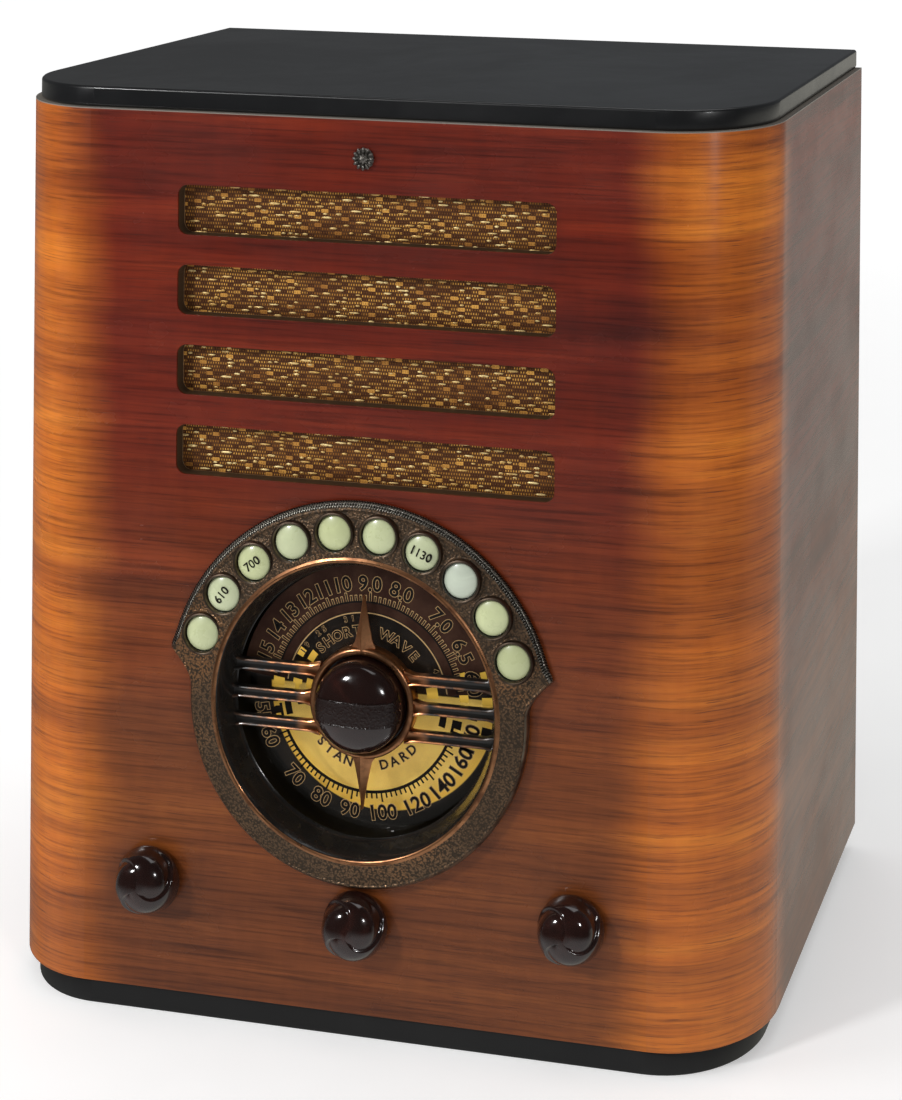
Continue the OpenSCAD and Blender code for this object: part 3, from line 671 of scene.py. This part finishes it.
def dial_casting():
    """Rim and crescent in one skin, with a counterbored hole and a collar for each button."""
    angle = np.concatenate([np.arange(-78.6, 78.6, 0.2), np.arange(78.6, 281.4, 0.9)])
    wrapped = (angle + 180) % 360 - 180
    columns = casting_columns(rim_radius(wrapped), wrapped)
    r = np.stack([np.broadcast_to(c[0], angle.shape) for c in columns], 1)
    d = np.stack([np.broadcast_to(c[1], angle.shape) for c in columns], 1)
    x = r * np.sin(np.radians(angle)[:, None])
    z = r * np.cos(np.radians(angle)[:, None])
    on_face = (r > 65.5) & (d < -2.0)
    for bx, bz, _ in button_spots():
        swell = 0.30 * np.exp(-((np.hypot(x - bx, z - bz) - COLLAR_R) / 0.9) ** 2)
        d = d - np.where(on_face, swell, 0)
    shape = Shape()
    shape.skin(np.stack([x, d, DIAL_Z + z], -1), True, True, np.array([c[2] for c in columns]))
    casting = shape.make("dial_casting", CASTING_LOOKS, "dial", ("dial_rotor",), 50)
    bore = BUTTON_R + 0.3
    hole = [(0, -15), (bore, -15), (bore, -3.25), (COLLAR_R, -3.25), (COLLAR_R, 2), (0, 2)]
    ring = [(7.85, -4.2), (7.85, -6.0), (8.05, -6.45), (8.45, -6.62), (8.9, -6.45), (9.2, -5.9), (9.2, -4.2)]
    holes = Shape()
    collars = Shape()
    for bx, bz, _ in button_spots():
        holes.turn(hole, bx, DIAL_Z + bz, 48)
        collars.turn(ring, bx, DIAL_Z + bz, 56)
    cut(casting, holes.make("cutter", [ENAMEL], "dial"))
    collars.make("dial_button_collars", [COLLAR], "dial", ("dial_rotor",), 40)


def hub_ring():
    """Copper ring round the centre knob, and its floor."""
    ring = [(20.2, 6.9), (20.2, 2.9), (20.5, 1.9), (21.2, 1.25), (22.0, 1.05), (22.8, 1.25), (23.5, 1.9),
            (23.7, 2.9), (23.7, 6.9)]
    hub = Shape()
    hub.turn(ring, 0, DIAL_Z, 128)
    hub.turn([(6.4, 5.55), (20.15, 5.55), (20.15, 6.85), (6.4, 6.85)], 0, DIAL_Z, 96, 1)
    hub.make("dial_hub_ring", [COPPER, ENAMEL], "dial", ("dial_rotor",), 40)


def bar_look():
    """Black enamel, worn to copper on the crests and bright where the bars leave the hub."""
    look = Look("bar_copper_to_black")
    wear = look.noise(150, 4, 0.6)
    crest = look.span(look.axis("Y"), FRONT + 0.0025, FRONT + 0.0018)
    out = look.math("ABSOLUTE", look.axis("X"))
    worn = crest * look.span(out, 0.058, 0.034, 0.10, 0.9) * look.span(wear, 0.35, 0.6)
    copper = look.math("MAXIMUM", look.span(out, 0.031, 0.0245), worn)
    look.set(Base_Color=look.mix(copper, (0.010, 0.009, 0.008), (0.50, 0.21, 0.09)), Metallic=copper,
             Roughness=0.28, Coat_Weight=0.4, Normal=look.bump(wear, 0.05, 0.3))
    return look.material


def dial_bars():
    """Three bars a side from the hub to the rim, each with two ridges and flared ends."""
    half = [(-2.45, 4.55), (-2.45, 2.7), (-2.2, 1.9), (-1.8, 1.65), (-1.4, 1.9), (-1.1, 2.6)]
    section = half + [(0, 2.9)] + [(-w, d) for w, d in half[::-1]]
    bars = Shape()
    for side in (-1, 1):
        for offset in (-12.0, 0.0, 12.0):
            start = math.sqrt(22.6 ** 2 - offset ** 2)
            stop = math.sqrt(60.0 ** 2 - offset ** 2)
            stations = np.concatenate([np.linspace(start, start + 4, 5), np.linspace(start + 6, stop - 6, 6),
                                       np.linspace(stop - 4, stop, 6)])
            flare = 1 + 0.5 * smooth(start + 5, start, stations) + 0.35 * smooth(stop - 4.5, stop, stations)
            bars.loft([[(side * s, d, DIAL_Z + offset + w * f) for w, d in section]
                       for s, f in zip(stations, flare)])
    bars.make("dial_bars", [bar_look()], "dial", ("dial_rotor",), 30)


def dial_pointers():
    """Two ridged copper pointers, one up and one down from the hub."""
    # (distance from the dial's axis, half width, depth of the ridge)
    stations = ((22.4, 5.6, 0.9), (24.0, 5.1, 0.9), (25.5, 4.0, 1.0), (28, 3.4, 1.05), (33, 2.35, 1.3),
                (39, 1.25, 1.7), (45.5, 0.25, 2.2))
    hands = Shape()
    for s in (-1, 1):
        rings = []
        for r, w, top in stations:
            shoulder = (top + 3.5) / 2 + 0.15
            ring = ((-w, 4.3), (-w, 3.7), (-w / 2, shoulder), (0, top), (w / 2, shoulder), (w, 3.7), (w, 4.3))
            rings.append([(x, d, DIAL_Z + s * r) for x, d in ring])
        hands.loft(rings)
    bright = rubbed_metal("pointer_copper", (0.90, 0.44, 0.21), (0.45, 0.20, 0.10), 0.40, 1.0, 130.0)
    hands.make("dial_pointers", [bright], "dial", ("dial_rotor",), 24)


def letters(shape, text, size, radius, degrees, upright, d, fat, look=0, thick=0.03):
    """Adds type to a shape at a spot round the dial, its top outwards if upright and inwards if not."""
    curve = bpy.data.curves.new("type", "FONT")
    curve.body = text
    curve.size = size
    curve.align_x = "CENTER"
    curve.align_y = "CENTER"
    curve.offset = fat
    curve.extrude = thick
    curve.resolution_u = 3
    holder = bpy.data.objects.new("type", curve)
    bpy.context.scene.collection.objects.link(holder)
    mesh = bpy.data.meshes.new_from_object(holder.evaluated_get(bpy.context.evaluated_depsgraph_get()))
    a = math.radians(degrees)
    x, z = radius * math.cos(a), DIAL_Z + radius * math.sin(a)
    turn = a - math.pi / 2 if upright else a + math.pi / 2
    c, s = math.cos(turn), math.sin(turn)
    verts = [(x + v.co.x * c - v.co.y * s, d - v.co.z, z + v.co.x * s + v.co.y * c) for v in mesh.vertices]
    shape.add(verts, [tuple(p.vertices) for p in mesh.polygons], look)
    bpy.data.objects.remove(holder)
    bpy.data.curves.remove(curve)
    bpy.data.meshes.remove(mesh)


def word(shape, text, radius, middle, step, upright, size, d, fat, look):
    """A word along an arc, letter by letter."""
    for i, letter in enumerate(text):
        shift = (i - (len(text) - 1) / 2) * step
        degrees = middle - shift if upright else middle + shift
        letters(shape, letter, size, radius, degrees, upright, d, fat, look)


def arc(shape, look, r0, r1, start, stop, d, half=0.03):
    """Flat ring sector between two angles in degrees, half to each side of depth d."""
    n = max(2, int(abs(stop - start) / 2))
    corners = ((r0, d - half), (r1, d - half), (r1, d + half), (r0, d + half))
    shape.loft([[(r * math.cos(t), deep, DIAL_Z + r * math.sin(t)) for r, deep in corners]
                for t in np.radians(np.linspace(start, stop, n + 1))], look)


# Where the numbers stand on the two scales, in degrees anticlockwise from the right.
UPPER = {"15": 161, "14": 148.7, "13": 136.6, "12": 125.0, "11": 114.2, "10": 103.8, "9.0": 88.7,
         "8.0": 71.7, "7.0": 47.3, "6.5": 28.9, "6.0": 12.5}
LOWER = {"55": -168, "60": -155, "70": -132.1, "80": -114.8, "90": -98.6, "100": -81.1, "120": -61.7,
         "140": -44.8, "160": -28.5, "170": -16}
INK, GOLD, SMOKE, YELLOW = range(4)
# The black print lies in front, and the gold behind it shows as an outline.
INK_D = 7.50
GOLD_D = 7.60


def smoked_band():
    """Dark brown printing on the glass that still lets a little light through."""
    look = Look("dial_smoked_band")
    cloud = look.noise(70, 4, 0.6)
    tint = look.fade(cloud, 0.35, 0.7, (0.034, 0.014, 0.009), (0.060, 0.028, 0.017))
    through = look.add("BsdfTransparent", {"Color": (0.35, 0.20, 0.12, 1)})
    look.set(Base_Color=tint, Roughness=0.6, Specular_IOR_Level=0.1)
    look.finish(look.add("MixShader", {0: 0.8, 1: through, 2: Value(look, look.shader.outputs[0])}))
    return look.material


def print_words(shape):
    for scale, upright in ((UPPER, True), (LOWER, False)):
        for text, degrees in scale.items():
            letters(shape, text, 8.9, 48.8, degrees, upright, INK_D, 0.16, INK)
            letters(shape, text, 8.9, 48.8, degrees, upright, GOLD_D, 0.42, GOLD)
    for fat, look, d in ((0.05, INK, INK_D), (0.30, GOLD, GOLD_D)):
        word(shape, "SHORT", 28.8, 118.0, 9.4, True, 6.2, d, fat, look)
        word(shape, "WAVE", 28.8, 58.0, 9.8, True, 6.2, d, fat, look)
        word(shape, "STAN", 28.8, -121.0, 9.6, False, 5.6, d, fat, look)
        word(shape, "DARD", 28.8, -59.0, 9.8, False, 5.6, d, fat, look)
        for text, degrees in (("49", 22), ("31", 104), ("25", 128), ("19", 146)):
            word(shape, text, 34.2, degrees, 5.6, True, 3.4, d, fat * 0.6, look)


def print_lines(shape):
    """Arcs, ticks and the smoked band above, arcs and ticks below."""
    arc(shape, INK, 40.9, 41.6, 8, 172, INK_D)
    arc(shape, GOLD, 36.3, 36.8, 8, 172, GOLD_D)
    arc(shape, SMOKE, 37.2, 57.2, 7, 173, GOLD_D + 0.075, 0.015)
    arc(shape, INK, 39.2, 40.5, -172, -8, INK_D)
    for degrees in np.arange(10, 171, 2.9):
        top = 45.2 if min(abs(degrees - at) for at in UPPER.values()) < 1.5 else 43.9
        arc(shape, INK, 41.4, top, degrees - 0.42, degrees + 0.42, INK_D - 0.005)
        arc(shape, GOLD, 41.2, top + 0.3, degrees - 0.75, degrees + 0.75, GOLD_D - 0.005)
    for degrees in np.arange(-170, -9, 3.1):
        top = 44.2 if min(abs(degrees - at) for at in LOWER.values()) < 1.6 else 42.6
        arc(shape, INK, 40.2, top, degrees - 0.5, degrees + 0.5, INK_D - 0.005)


def bar_shadow_blocks(shape):
    """Painted shadows of the bars in black and painted patches of light in yellow between the bars, each
    (inner radius, outer radius, from, to).
    """
    black = ((33.5, 36.5, -15, -3), (39.5, 43.5, -13, -8), (47, 50, -6, -1), (52.5, 57, -12, -8),
             (27, 32, 182, 190), (35, 38, 184, 196), (41, 46, 182, 187), (40, 50, 190, 194))
    yellow = ((27.5, 32.5, 5, 14), (42, 46, 3, 7), (52, 57, 2, 5.5), (44, 46.5, 15, 19),
              (53, 56.5, 13, 17), (24.5, 28, 167, 176), (30, 34, 170, 174), (31, 33, 174, 178),
              (38, 43, 172, 177), (28, 31, 143, 152), (33, 36, 147, 153))
    # The black blocks are painted shadows of the bars, and the yellow ones are painted light falling between
    # them.
    for blocks, look in ((black, INK), (yellow, YELLOW)):
        for block in blocks:
            arc(shape, look, *block, GOLD_D + 0.035, 0.015)


def dial_print():
    """Scales printed on the back of the glass, with painted bar shadows and painted patches of light between
    the bars.
    """
    shape = Shape()
    print_words(shape)
    print_lines(shape)
    bar_shadow_blocks(shape)
    # Yellow for the painted patches of light between the bars.
    yellow = moulded("dial_lit_patch_yellow", (0.80, 0.50, 0.07), (0.66, 0.40, 0.06), 0.5, 0.0)
    looks = [PRINT_BLACK, PRINT_GOLD, smoked_band(), yellow]
    shape.make("dial_print_and_bar_shadows", looks, "cabinet", (), 30)


def dial_back_look():
    """Disc behind the glass: yellow for the lower scale, black above, with a painted shadow on its left and a
    painted glow.
    """
    look = Look("dial_disc_two_tone_and_shadow")
    z = look.axis("Z") - DIAL_Z * MM
    # The yellow ends on a circle set 3.5 mm to the right, so its left part stays dark: painted shadow of the
    # casting's wall.
    reach = look.reach(look.axis("X") - 0.0035, z)
    age = look.noise(60, 5, 0.6)
    yellow = look.fade(age, 0.35, 0.7, (0.92, 0.66, 0.16), (0.78, 0.54, 0.13))
    yellow = look.fade(reach, 0.042, 0.052, yellow, (0.86, 0.54, 0.07))
    dark = look.fade(age, 0.4, 0.7, (0.010, 0.008, 0.007), (0.022, 0.015, 0.012))
    # Mask of the yellow: below the axis and inside the shifted circle; the dark outside it in the lower half
    # is painted shadow.
    painted = look.span(z, 0.0003, -0.0003) * look.span(reach, 0.0518, 0.0512)
    colour = look.mix(painted, dark, yellow)
    # The faint emission is a painted glow, since the disc is no lamp.
    look.set(Base_Color=colour, Roughness=0.5, Normal=look.bump(age, 0.05, 0.3),
             Emission_Color=colour, Emission_Strength=0.22)
    return look.material


def station_buttons():
    """Ten domed caps, each on its own sliding body; three carry plain kilohertz numbers."""
    marks = {1: "610", 2: "700", 6: "1130"}
    white_cap = 7
    r = BUTTON_R
    dome = [(q, -6.9 + 2.0 * (q / r) ** 2.2) for q in r * np.linspace(0, 0.97, 16)]
    side = [(r - 0.05, -4.6), (r, -4.2), (r, -3.2), (r + 0.95, -3.2), (r + 0.95, -2.45), (0, -2.45)]
    stem = 71.5 / BUTTON_CIRCLE
    for i, (bx, bz, degrees) in enumerate(button_spots()):
        number = f"{i + 1:02d}"
        cap = Shape()
        cap.turn(dome + side, bx, DIAL_Z + bz, 56)
        cap.turn([(0, -2.5), (1.6, -2.5), (1.6, -0.4), (0, -0.4)], bx * stem, DIAL_Z + bz * stem, 20)
        shade = random.uniform(0.92, 1.06)
        cool = random.uniform(-0.005, 0.005) + (0.026 if i == white_cap else 0)
        base = (0.46 * shade + cool * 0.5, 0.50 * shade + cool, 0.29 * shade + cool * 6)
        look = moulded("station_cap_" + number, base, tuple(min(1, c * 1.18) for c in base), 0.26, 0.5, 0.8)
        stands_for = ("station_button_" + number,)
        cap.make("station_cap_" + number, [look], "button_" + number, stands_for, 50)
        if i in marks:
            label = Shape()
            letters(label, marks[i], 5.2, BUTTON_CIRCLE, degrees, True, -6.55, 0.05, thick=0.40)
            label.make("station_mark_" + number, [PRINT_BLACK], "button_" + number, (), 30)


# ---- Knobs ----

KNOB_R = 19.6


def knob_dome(r):
    """Depth of the centre knob's front at a radius."""
    return -11.0 * float(np.sqrt(np.clip(1 - (r / KNOB_R) ** 2.5, 0, 1)) ** 0.9)


def centre_knob():
    knob = Shape()
    front = [(r, knob_dome(r)) for r in KNOB_R * np.sin([0, *np.linspace(0.05, math.pi / 2, 26)])]
    back = [(KNOB_R, 2.0), (KNOB_R, 4.6), (KNOB_R - 0.6, 5.0), (3.2, 5.0), (3.2, -5.2), (0, -5.2)]
    knob.turn(front + back, 0, DIAL_Z, 128)
    knob.make("centre_knob_dome", [BAKELITE], "fine_tuner", ("fine_knob",), 40)


def centre_knob_band():
    """Stippled band across the knob, with a rounded ridge along each side."""
    look = Look("stippled_band")
    stipple = look.cells(look.spot(), 1150.0, "SMOOTH_F1")
    look.set(Base_Color=(0.012, 0.005, 0.004, 1), Roughness=look.span(stipple, 0.1, 0.6, 0.18, 0.42),
             Coat_Weight=0.2, Normal=look.bump(stipple, -0.35, 1.0))
    half = [(-5.1, -1.0), (-5.1, 0.75), (-4.9, 0.95), (-4.4, 0.55), (-2.2, 0.5)]
    section = half + [(0, 0.5)] + [(-w, lift) for w, lift in half[::-1]]
    rings = []
    for x in np.linspace(-19.3, 19.3, 49):
        height = 0.25 + 0.75 * float(smooth(19.3, 17.0, abs(x)))
        ring = []
        for w, lift in section:
            reach = min(math.hypot(x, w), KNOB_R - 0.02)
            pull = 1 if reach < KNOB_R - 0.1 else 0.985
            ring.append((x * pull, knob_dome(reach) - lift * height, DIAL_Z + w))
        rings.append(ring)
    band = Shape()
    band.loft(rings)
    band.make("centre_knob_band", [look.material], "fine_tuner", ("fine_knob",), 30)


def swirl_knob(body, phase):
    """Domed knob of three petals that wrap round each other towards the tip."""
    x0, _, z0 = (v / MM for v in JOINTS[body + "_turn"]["pos_m"])
    radius, petals, ridge = 14.4, 3, 0.045
    steps, rows = 240, 48
    a = all_round(steps)
    t = np.linspace(0, 1, rows)[None]
    u = t * math.pi / 2
    twist = 1.5 * (1 - t) ** 1.6
    # Each petal rises steeply over the ridge and falls away to the next one.
    s = (petals * (a - phase + twist) / (2 * math.pi)) % 1.0
    petal = np.where(s < ridge, s / ridge, 1 - 0.95 * np.clip((s - ridge) / (1 - ridge), 0, 1) ** 2.4)
    fall = 0.105 * smooth(0.02, 0.14, t) * smooth(1.0, 0.88, t) * (1 - petal)
    r = radius * np.cos(u) ** 0.72 * (1 - fall)
    d = -3.2 - 11.6 * np.sin(u) * (1 - 0.6 * fall)
    back_r = np.array([[0, 3.25, 3.25, 12.4, 13.6, 14.2]]) + 0 * a
    back_d = np.array([[-9.2, -9.2, -0.8, -0.8, -1.3, -2.2]]) + 0 * a
    r = np.concatenate([back_r, r], 1)
    d = np.concatenate([back_d, d], 1)
    knob = Shape()
    knob.skin(np.stack([x0 + r * np.sin(a), d, z0 + r * np.cos(a)], -1), True, False)
    knob.make(body + "_knob_swirl", [BAKELITE], body, (body + "_knob",), 42)


grille_cloth()
rosette()
dial_casting()
hub_ring()
dial_bars()
dial_pointers()
dial_print()
station_buttons()
centre_knob()
centre_knob_band()
swirl_knob("volume", 2.2)
swirl_knob("band", 0.4)
swirl_knob("tone", 4.4)


# ---- Inside ----

def laminations():
    look = Look("iron_laminations")
    edge = look.math("SINE", look.axis("Y") * (2 * math.pi / (0.9 * MM)))
    age = look.noise(50, 5, 0.6)
    look.set(Base_Color=look.fade(age, 0.4, 0.7, (0.10, 0.095, 0.09), (0.19, 0.13, 0.09)),
             Metallic=0.7, Roughness=0.5, Normal=look.bump(edge, 0.25, 0.8))
    return look.material


def paper_cone():
    look = Look("pressed_paper")
    fibre = look.noise(700, 5, 0.7)
    look.set(Base_Color=look.fade(fibre, 0.35, 0.7, (0.020, 0.018, 0.016), (0.055, 0.048, 0.042)),
             Roughness=0.9, Normal=look.bump(fibre, 0.12, 0.6))
    return look.material


def braid():
    look = Look("braided_lead")
    lay = {"Vector": look.spot((260, 260, 420)), "Scale": 1.0, "Distortion": 1.0}
    ribs = look.add("TexWave", lay, 1, bands_direction="DIAGONAL")
    fleck = look.noise(900, 3, 0.6)
    look.set(Base_Color=look.fade(fleck, 0.4, 0.6, (0.055, 0.030, 0.016), (0.15, 0.09, 0.045)),
             Roughness=0.85, Normal=look.bump(ribs, 0.3, 0.8))
    return look.material


def envelope_outline():
    """Glass profile of a tube as (radius, height), from its base to the tip of its dome."""
    outline = [(14, 0)]
    for t in np.linspace(0, 1, 9):
        outline.append((14 + 6.5 * math.sin(math.pi / 2 * t), 2 + 20 * t))
    for t in np.linspace(0.15, 1, 7):
        a = math.pi / 2 * t
        outline.append((20.5 - 7 * (1 - math.cos(a)), 22 + 19.8 * math.sin(a)))
    for a in np.linspace(0, math.pi / 2, 9)[:-1]:
        outline.append((13 * math.cos(a), 50 + 13 * math.sin(a)))
    return outline + [(0, 63)]


def tube_elements(shape, x, d, z0):
    """Plate, two mica spacers, two supports, stem and getter cup of one tube."""
    plate, mica, steel = 0, 1, 2

    def stand(profile, look, steps, aside=0.0):
        shape.stand([(r, z0 + z) for r, z in profile], x + aside, d, steps, look)

    stand([(0, 12), (7.4, 12), (7.8, 13), (7.8, 38), (7.4, 39), (0, 39)], plate, 32)
    for z in (10.5, 40.5):
        stand([(0, z), (11.5, z), (11.5, z + 0.7), (0, z + 0.7)], mica, 32)
    for aside in (-9.6, 9.6):
        stand([(0, 1.1), (0.7, 1.1), (0.7, 47), (0, 47)], steel, 10, aside)
    stand([(0, 1.1), (5.5, 1.1), (3.0, 10), (0, 10)], mica, 24)
    stand([(0, 50.0), (4.5, 50.0), (5.0, 50.6), (4.5, 51.2), (0, 51.2)], steel, 20)


def tubes():
    """Hollow glass envelopes with the parts inside them, on the CAD's six bases."""
    z0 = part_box("tube_glass")[0].z / MM
    outer = envelope_outline()
    inner = [(max(r - 0.9, 0), min(z, 62.1) if r > 1 else 62.1) for r, z in outer]
    profile = [(0, 0)] + outer + inner[::-1][:-1] + [(13.1, 1.0), (0, 1.0)]
    glass = Shape()
    elements = Shape()
    for x, d in ((-120, 62), (-76, 62), (76, 66), (122, 66), (76, 158), (122, 158)):
        glass.stand([(r, z0 + z) for r, z in profile], x, d, 48)
        tube_elements(elements, x, d, z0)
    glass.make("tube_envelopes", [ENVELOPE], "cabinet", ("tube_glass",), 40)
    plate = rubbed_metal("carbonised_plate", (0.07, 0.07, 0.075), (0.03, 0.03, 0.03), 0.45, 0.6, 120.0, 0.3)
    mica = moulded("mica_spacer", (0.62, 0.60, 0.55), (0.5, 0.47, 0.42), 0.3, 0.3)
    elements.make("tube_elements", [plate, mica, STEEL], "cabinet", (), 40)


def curve_points(points):
    """Catmull-Rom curve through points, in about forty steps."""
    p = np.array([points[0]] + list(points) + [points[-1]], float)
    out = []
    for a, b, c, d in zip(p, p[1:], p[2:], p[3:]):
        for t in np.linspace(0, 1, 40 // (len(p) - 3), endpoint=False):
            bend = (2 * a - 5 * b + 4 * c - d) * t * t + (3 * b - 3 * c + d - a) * t ** 3
            out.append(0.5 * (2 * b + (c - a) * t + bend))
    return np.array(out + [p[-2]])


def wiring():
    """Leads from the loudspeaker and the pilot lamps down to the chassis."""
    speaker = Shape()
    for k, (x, end) in enumerate(((-6, -20), (0, -14), (6, -26))):
        path = [(x, 88.2, 345), (x - 4, 100, 338), (-34 - 3 * k, 112, 300), (-44 - 2 * k, 118, 220),
                (-46 + 2 * k, 112, 150), (end - 28, 100, 100), (end - 28, 100, 80.8)]
        speaker.sweep(curve_points(path), 1.1, 8, k)
    lamps = Shape()
    for s in (-1, 1):
        path = [(s * 30, 35.9, DIAL_Z + 30), (s * 32, 44, DIAL_Z + 27), (s * 50, 48, DIAL_Z - 6),
                (s * 52, 50, 100), (s * 52, 52, 80.8)]
        lamps.sweep(curve_points(path), 1.0, 8, 0)
    covers = (("red", (0.30, 0.03, 0.02)), ("yellow", (0.45, 0.28, 0.04)), ("green", (0.05, 0.14, 0.05)))
    looks = [moulded("lead_" + name, c, tuple(v * 0.7 for v in c), 0.6, 0.0) for name, c in covers]
    speaker.make("speaker_leads", looks, "cabinet", (), 50)
    lamps.make("lamp_leads", [looks[1]], "cabinet", (), 50)


tubes()
wiring()


# ---- Looks of the CAD's own pieces ----

def paint_node(node, material, bevel):
    """Gives a CAD node its material, and rounds its edges if asked."""
    piece = frame["nodes"][node]
    piece.data.materials.clear()
    piece.data.materials.append(material)
    if bevel:
        soften(piece, bevel)


IRON = laminations()
PAPER = paper_cone()
LAMP_HOUSE = lacquer("lamp_house_black", (0.010, 0.009, 0.008), 0.5, 0.0, 0.2)
# (node, material, rounding of its edges in millimetres)
for finish in (
        ("cabinet_wrap", VENEER, 0.7), ("top_board", TOP_BLACK, 1.3), ("base_plinth", BASE_BLACK, 0.8),
        ("bottom_shelf", PLY, 0.4), ("glue_blocks", PINE, 0.5), ("speaker_baffle", PLY, 0.4),
        ("dial_glass", PANE, 0), ("reflector_disc", dial_back_look(), 0), ("dial_pan", DARK_STEEL, 0.15),
        ("lamp_house", LAMP_HOUSE, 0.3), ("button_springs", STEEL, 0), ("rotor_sleeve", BRASS, 0),
        ("pilot_lamps", BULB, 0), ("lamp_sockets", BRASS, 0.2), ("fine_shaft", STEEL, 0),
        ("front_bearing", BRASS, 0.2), ("dial_bracket", STEEL, 0.3), ("vernier_housing", STEEL, 0.3),
        ("vernier_carrier", BRASS, 0), ("vernier_balls", STEEL, 0), ("speaker_frame", DARK_STEEL, 0.3),
        ("cone_surround", PAPER, 0), ("speaker_cone", PAPER, 0), ("field_pot", DARK_STEEL, 0.6),
        ("output_transformer", IRON, 0.5), ("panel_fasteners", STEEL, 0.2), ("gang_frame", STEEL, 0.3),
        ("gang_stators", ALUMINIUM, 0), ("gang_rotor", ALUMINIUM, 0), ("chassis_pan", STEEL, 0.5),
        ("tube_sockets", PHENOLIC, 0.3), ("tube_bases", BASE_BAKELITE, 0.4), ("if_cans", ALUMINIUM, 1.2),
        ("power_transformer", IRON, 0.5), ("transformer_bells", DARK_STEEL, 4.0),
        ("filter_cans", ALUMINIUM, 0.5), ("control_pots", STEEL, 0.4), ("band_switch", PHENOLIC, 0.2),
        ("volume_shaft", STEEL, 0.2), ("tone_shaft", STEEL, 0.2), ("band_shaft", STEEL, 0.2),
        ("power_cord", braid(), 0)):
    paint_node(*finish)


# ---- Studio ----

def lamp(name, where, width, height, power, mirrored=True):
    """Rectangular lamp aimed at the middle of the set; polished surfaces show it if mirrored."""
    light = bpy.data.lights.new(name, "AREA")
    light.shape = "RECTANGLE"
    light.size, light.size_y = width, height
    light.energy = power
    holder = bpy.data.objects.new(name, light)
    holder.visible_glossy = mirrored
    holder.location = where
    holder.rotation_euler = (Vector((0, 0, 0.2)) - Vector(where)).to_track_quat("-Z", "Y").to_euler()
    bpy.context.scene.collection.objects.link(holder)


def pale_floor():
    floor_mesh = bpy.data.meshes.new("studio_floor")
    floor_mesh.from_pydata([(-6, -6, 0), (6, -6, 0), (6, 6, 0), (-6, 6, 0)], [], [(0, 1, 2, 3)])
    floor = bpy.data.objects.new("studio_floor", floor_mesh)
    bpy.context.scene.collection.objects.link(floor)
    look = Look("pale_floor")
    fibre = look.noise(40.0, 3, 0.5)
    away = look.add("VectorMath", {0: look.spot()}, 1, operation="LENGTH")
    look.set(Base_Color=look.mix(fibre, (0.86, 0.86, 0.86), (0.90, 0.90, 0.90)), Roughness=0.8,
             Emission_Color=(1, 1, 1, 1), Emission_Strength=look.span(away, 0.4, 2.4, 0.32, 0.66))
    floor_mesh.materials.append(look.material)
    floor.visible_glossy = False


def studio():
    """Even light from all round, four lamps, and something dim for the polished surfaces to mirror."""
    world = bpy.data.worlds.new("studio_world")
    bpy.context.scene.world = world
    sky = Look("studio_world", world)
    way = sky.add("TexCoord", output=0)
    across, back, up = (sky.add("SeparateXYZ", {0: way}, k) for k in range(3))
    # A white table near the set and a dim room beyond it are what the polished surfaces mirror.
    near_table = sky.span(up, -0.22, -0.60, 0.015, 0.40)
    far_table = sky.fade(up, 0.03, -0.08, (0.10, 0.105, 0.11), (0.47, 0.46, 0.41))
    far_side = sky.mix(sky.span(across, -0.60, -0.20, 0.2, 1.0), (0.08, 0.08, 0.08), far_table)
    mirrored = sky.fade(back, -0.25, 0.25, near_table, far_side)
    seen = sky.mix(sky.add("LightPath", output="Is Glossy Ray"), (0.42, 0.42, 0.42), mirrored)
    seen = sky.mix(sky.add("LightPath", output="Is Camera Ray"), seen, (1.0, 1.0, 1.0))
    sky.put(sky.shader.inputs[0], seen)
    world.cycles.sampling_method = "NONE"

    lamp("key_left", (-1.15, -1.55, 1.25), 0.26, 0.26, 17)
    lamp("fill_left", (-1.8, -0.7, 0.6), 0.8, 1.2, 14, mirrored=False)
    lamp("fill_right", (1.5, -1.7, 1.0), 0.22, 0.22, 6)
    lamp("top_soft", (0.1, 0.2, 2.0), 1.6, 1.2, 7)
    bpy.context.scene.view_settings.view_transform = "Standard"


def photo_camera():
    """Camera at the picture's viewpoint, with a lens shift that drops out when the camera is moved."""
    data = bpy.data.cameras.new("picture_camera")
    camera = bpy.data.objects.new("picture_camera", data)
    bpy.context.scene.collection.objects.link(camera)
    camera.location = (0.3827, FRONT - 0.9155, 0.5434)
    camera.rotation_euler = [math.radians(a) for a in (89.81067, -0.50258, 12.10968)]
    data.sensor_width = 36
    data.lens = 75.37
    for prop, value in (("shift_x", -0.3150), ("shift_y", -0.7081)):
        driver = data.driver_add(prop).driver
        driver.type = "SCRIPTED"
        place_x = driver.variables.new()
        place_x.name = "x"
        place_x.type = "TRANSFORMS"
        place_x.targets[0].id = camera
        place_x.targets[0].transform_type = "LOC_X"
        place_x.targets[0].transform_space = "WORLD_SPACE"
        driver.expression = f"{value} if abs(x - {camera.location.x:.4f}) < 0.0005 else 0"
    bpy.context.scene.camera = camera


pale_floor()
studio()
photo_camera()
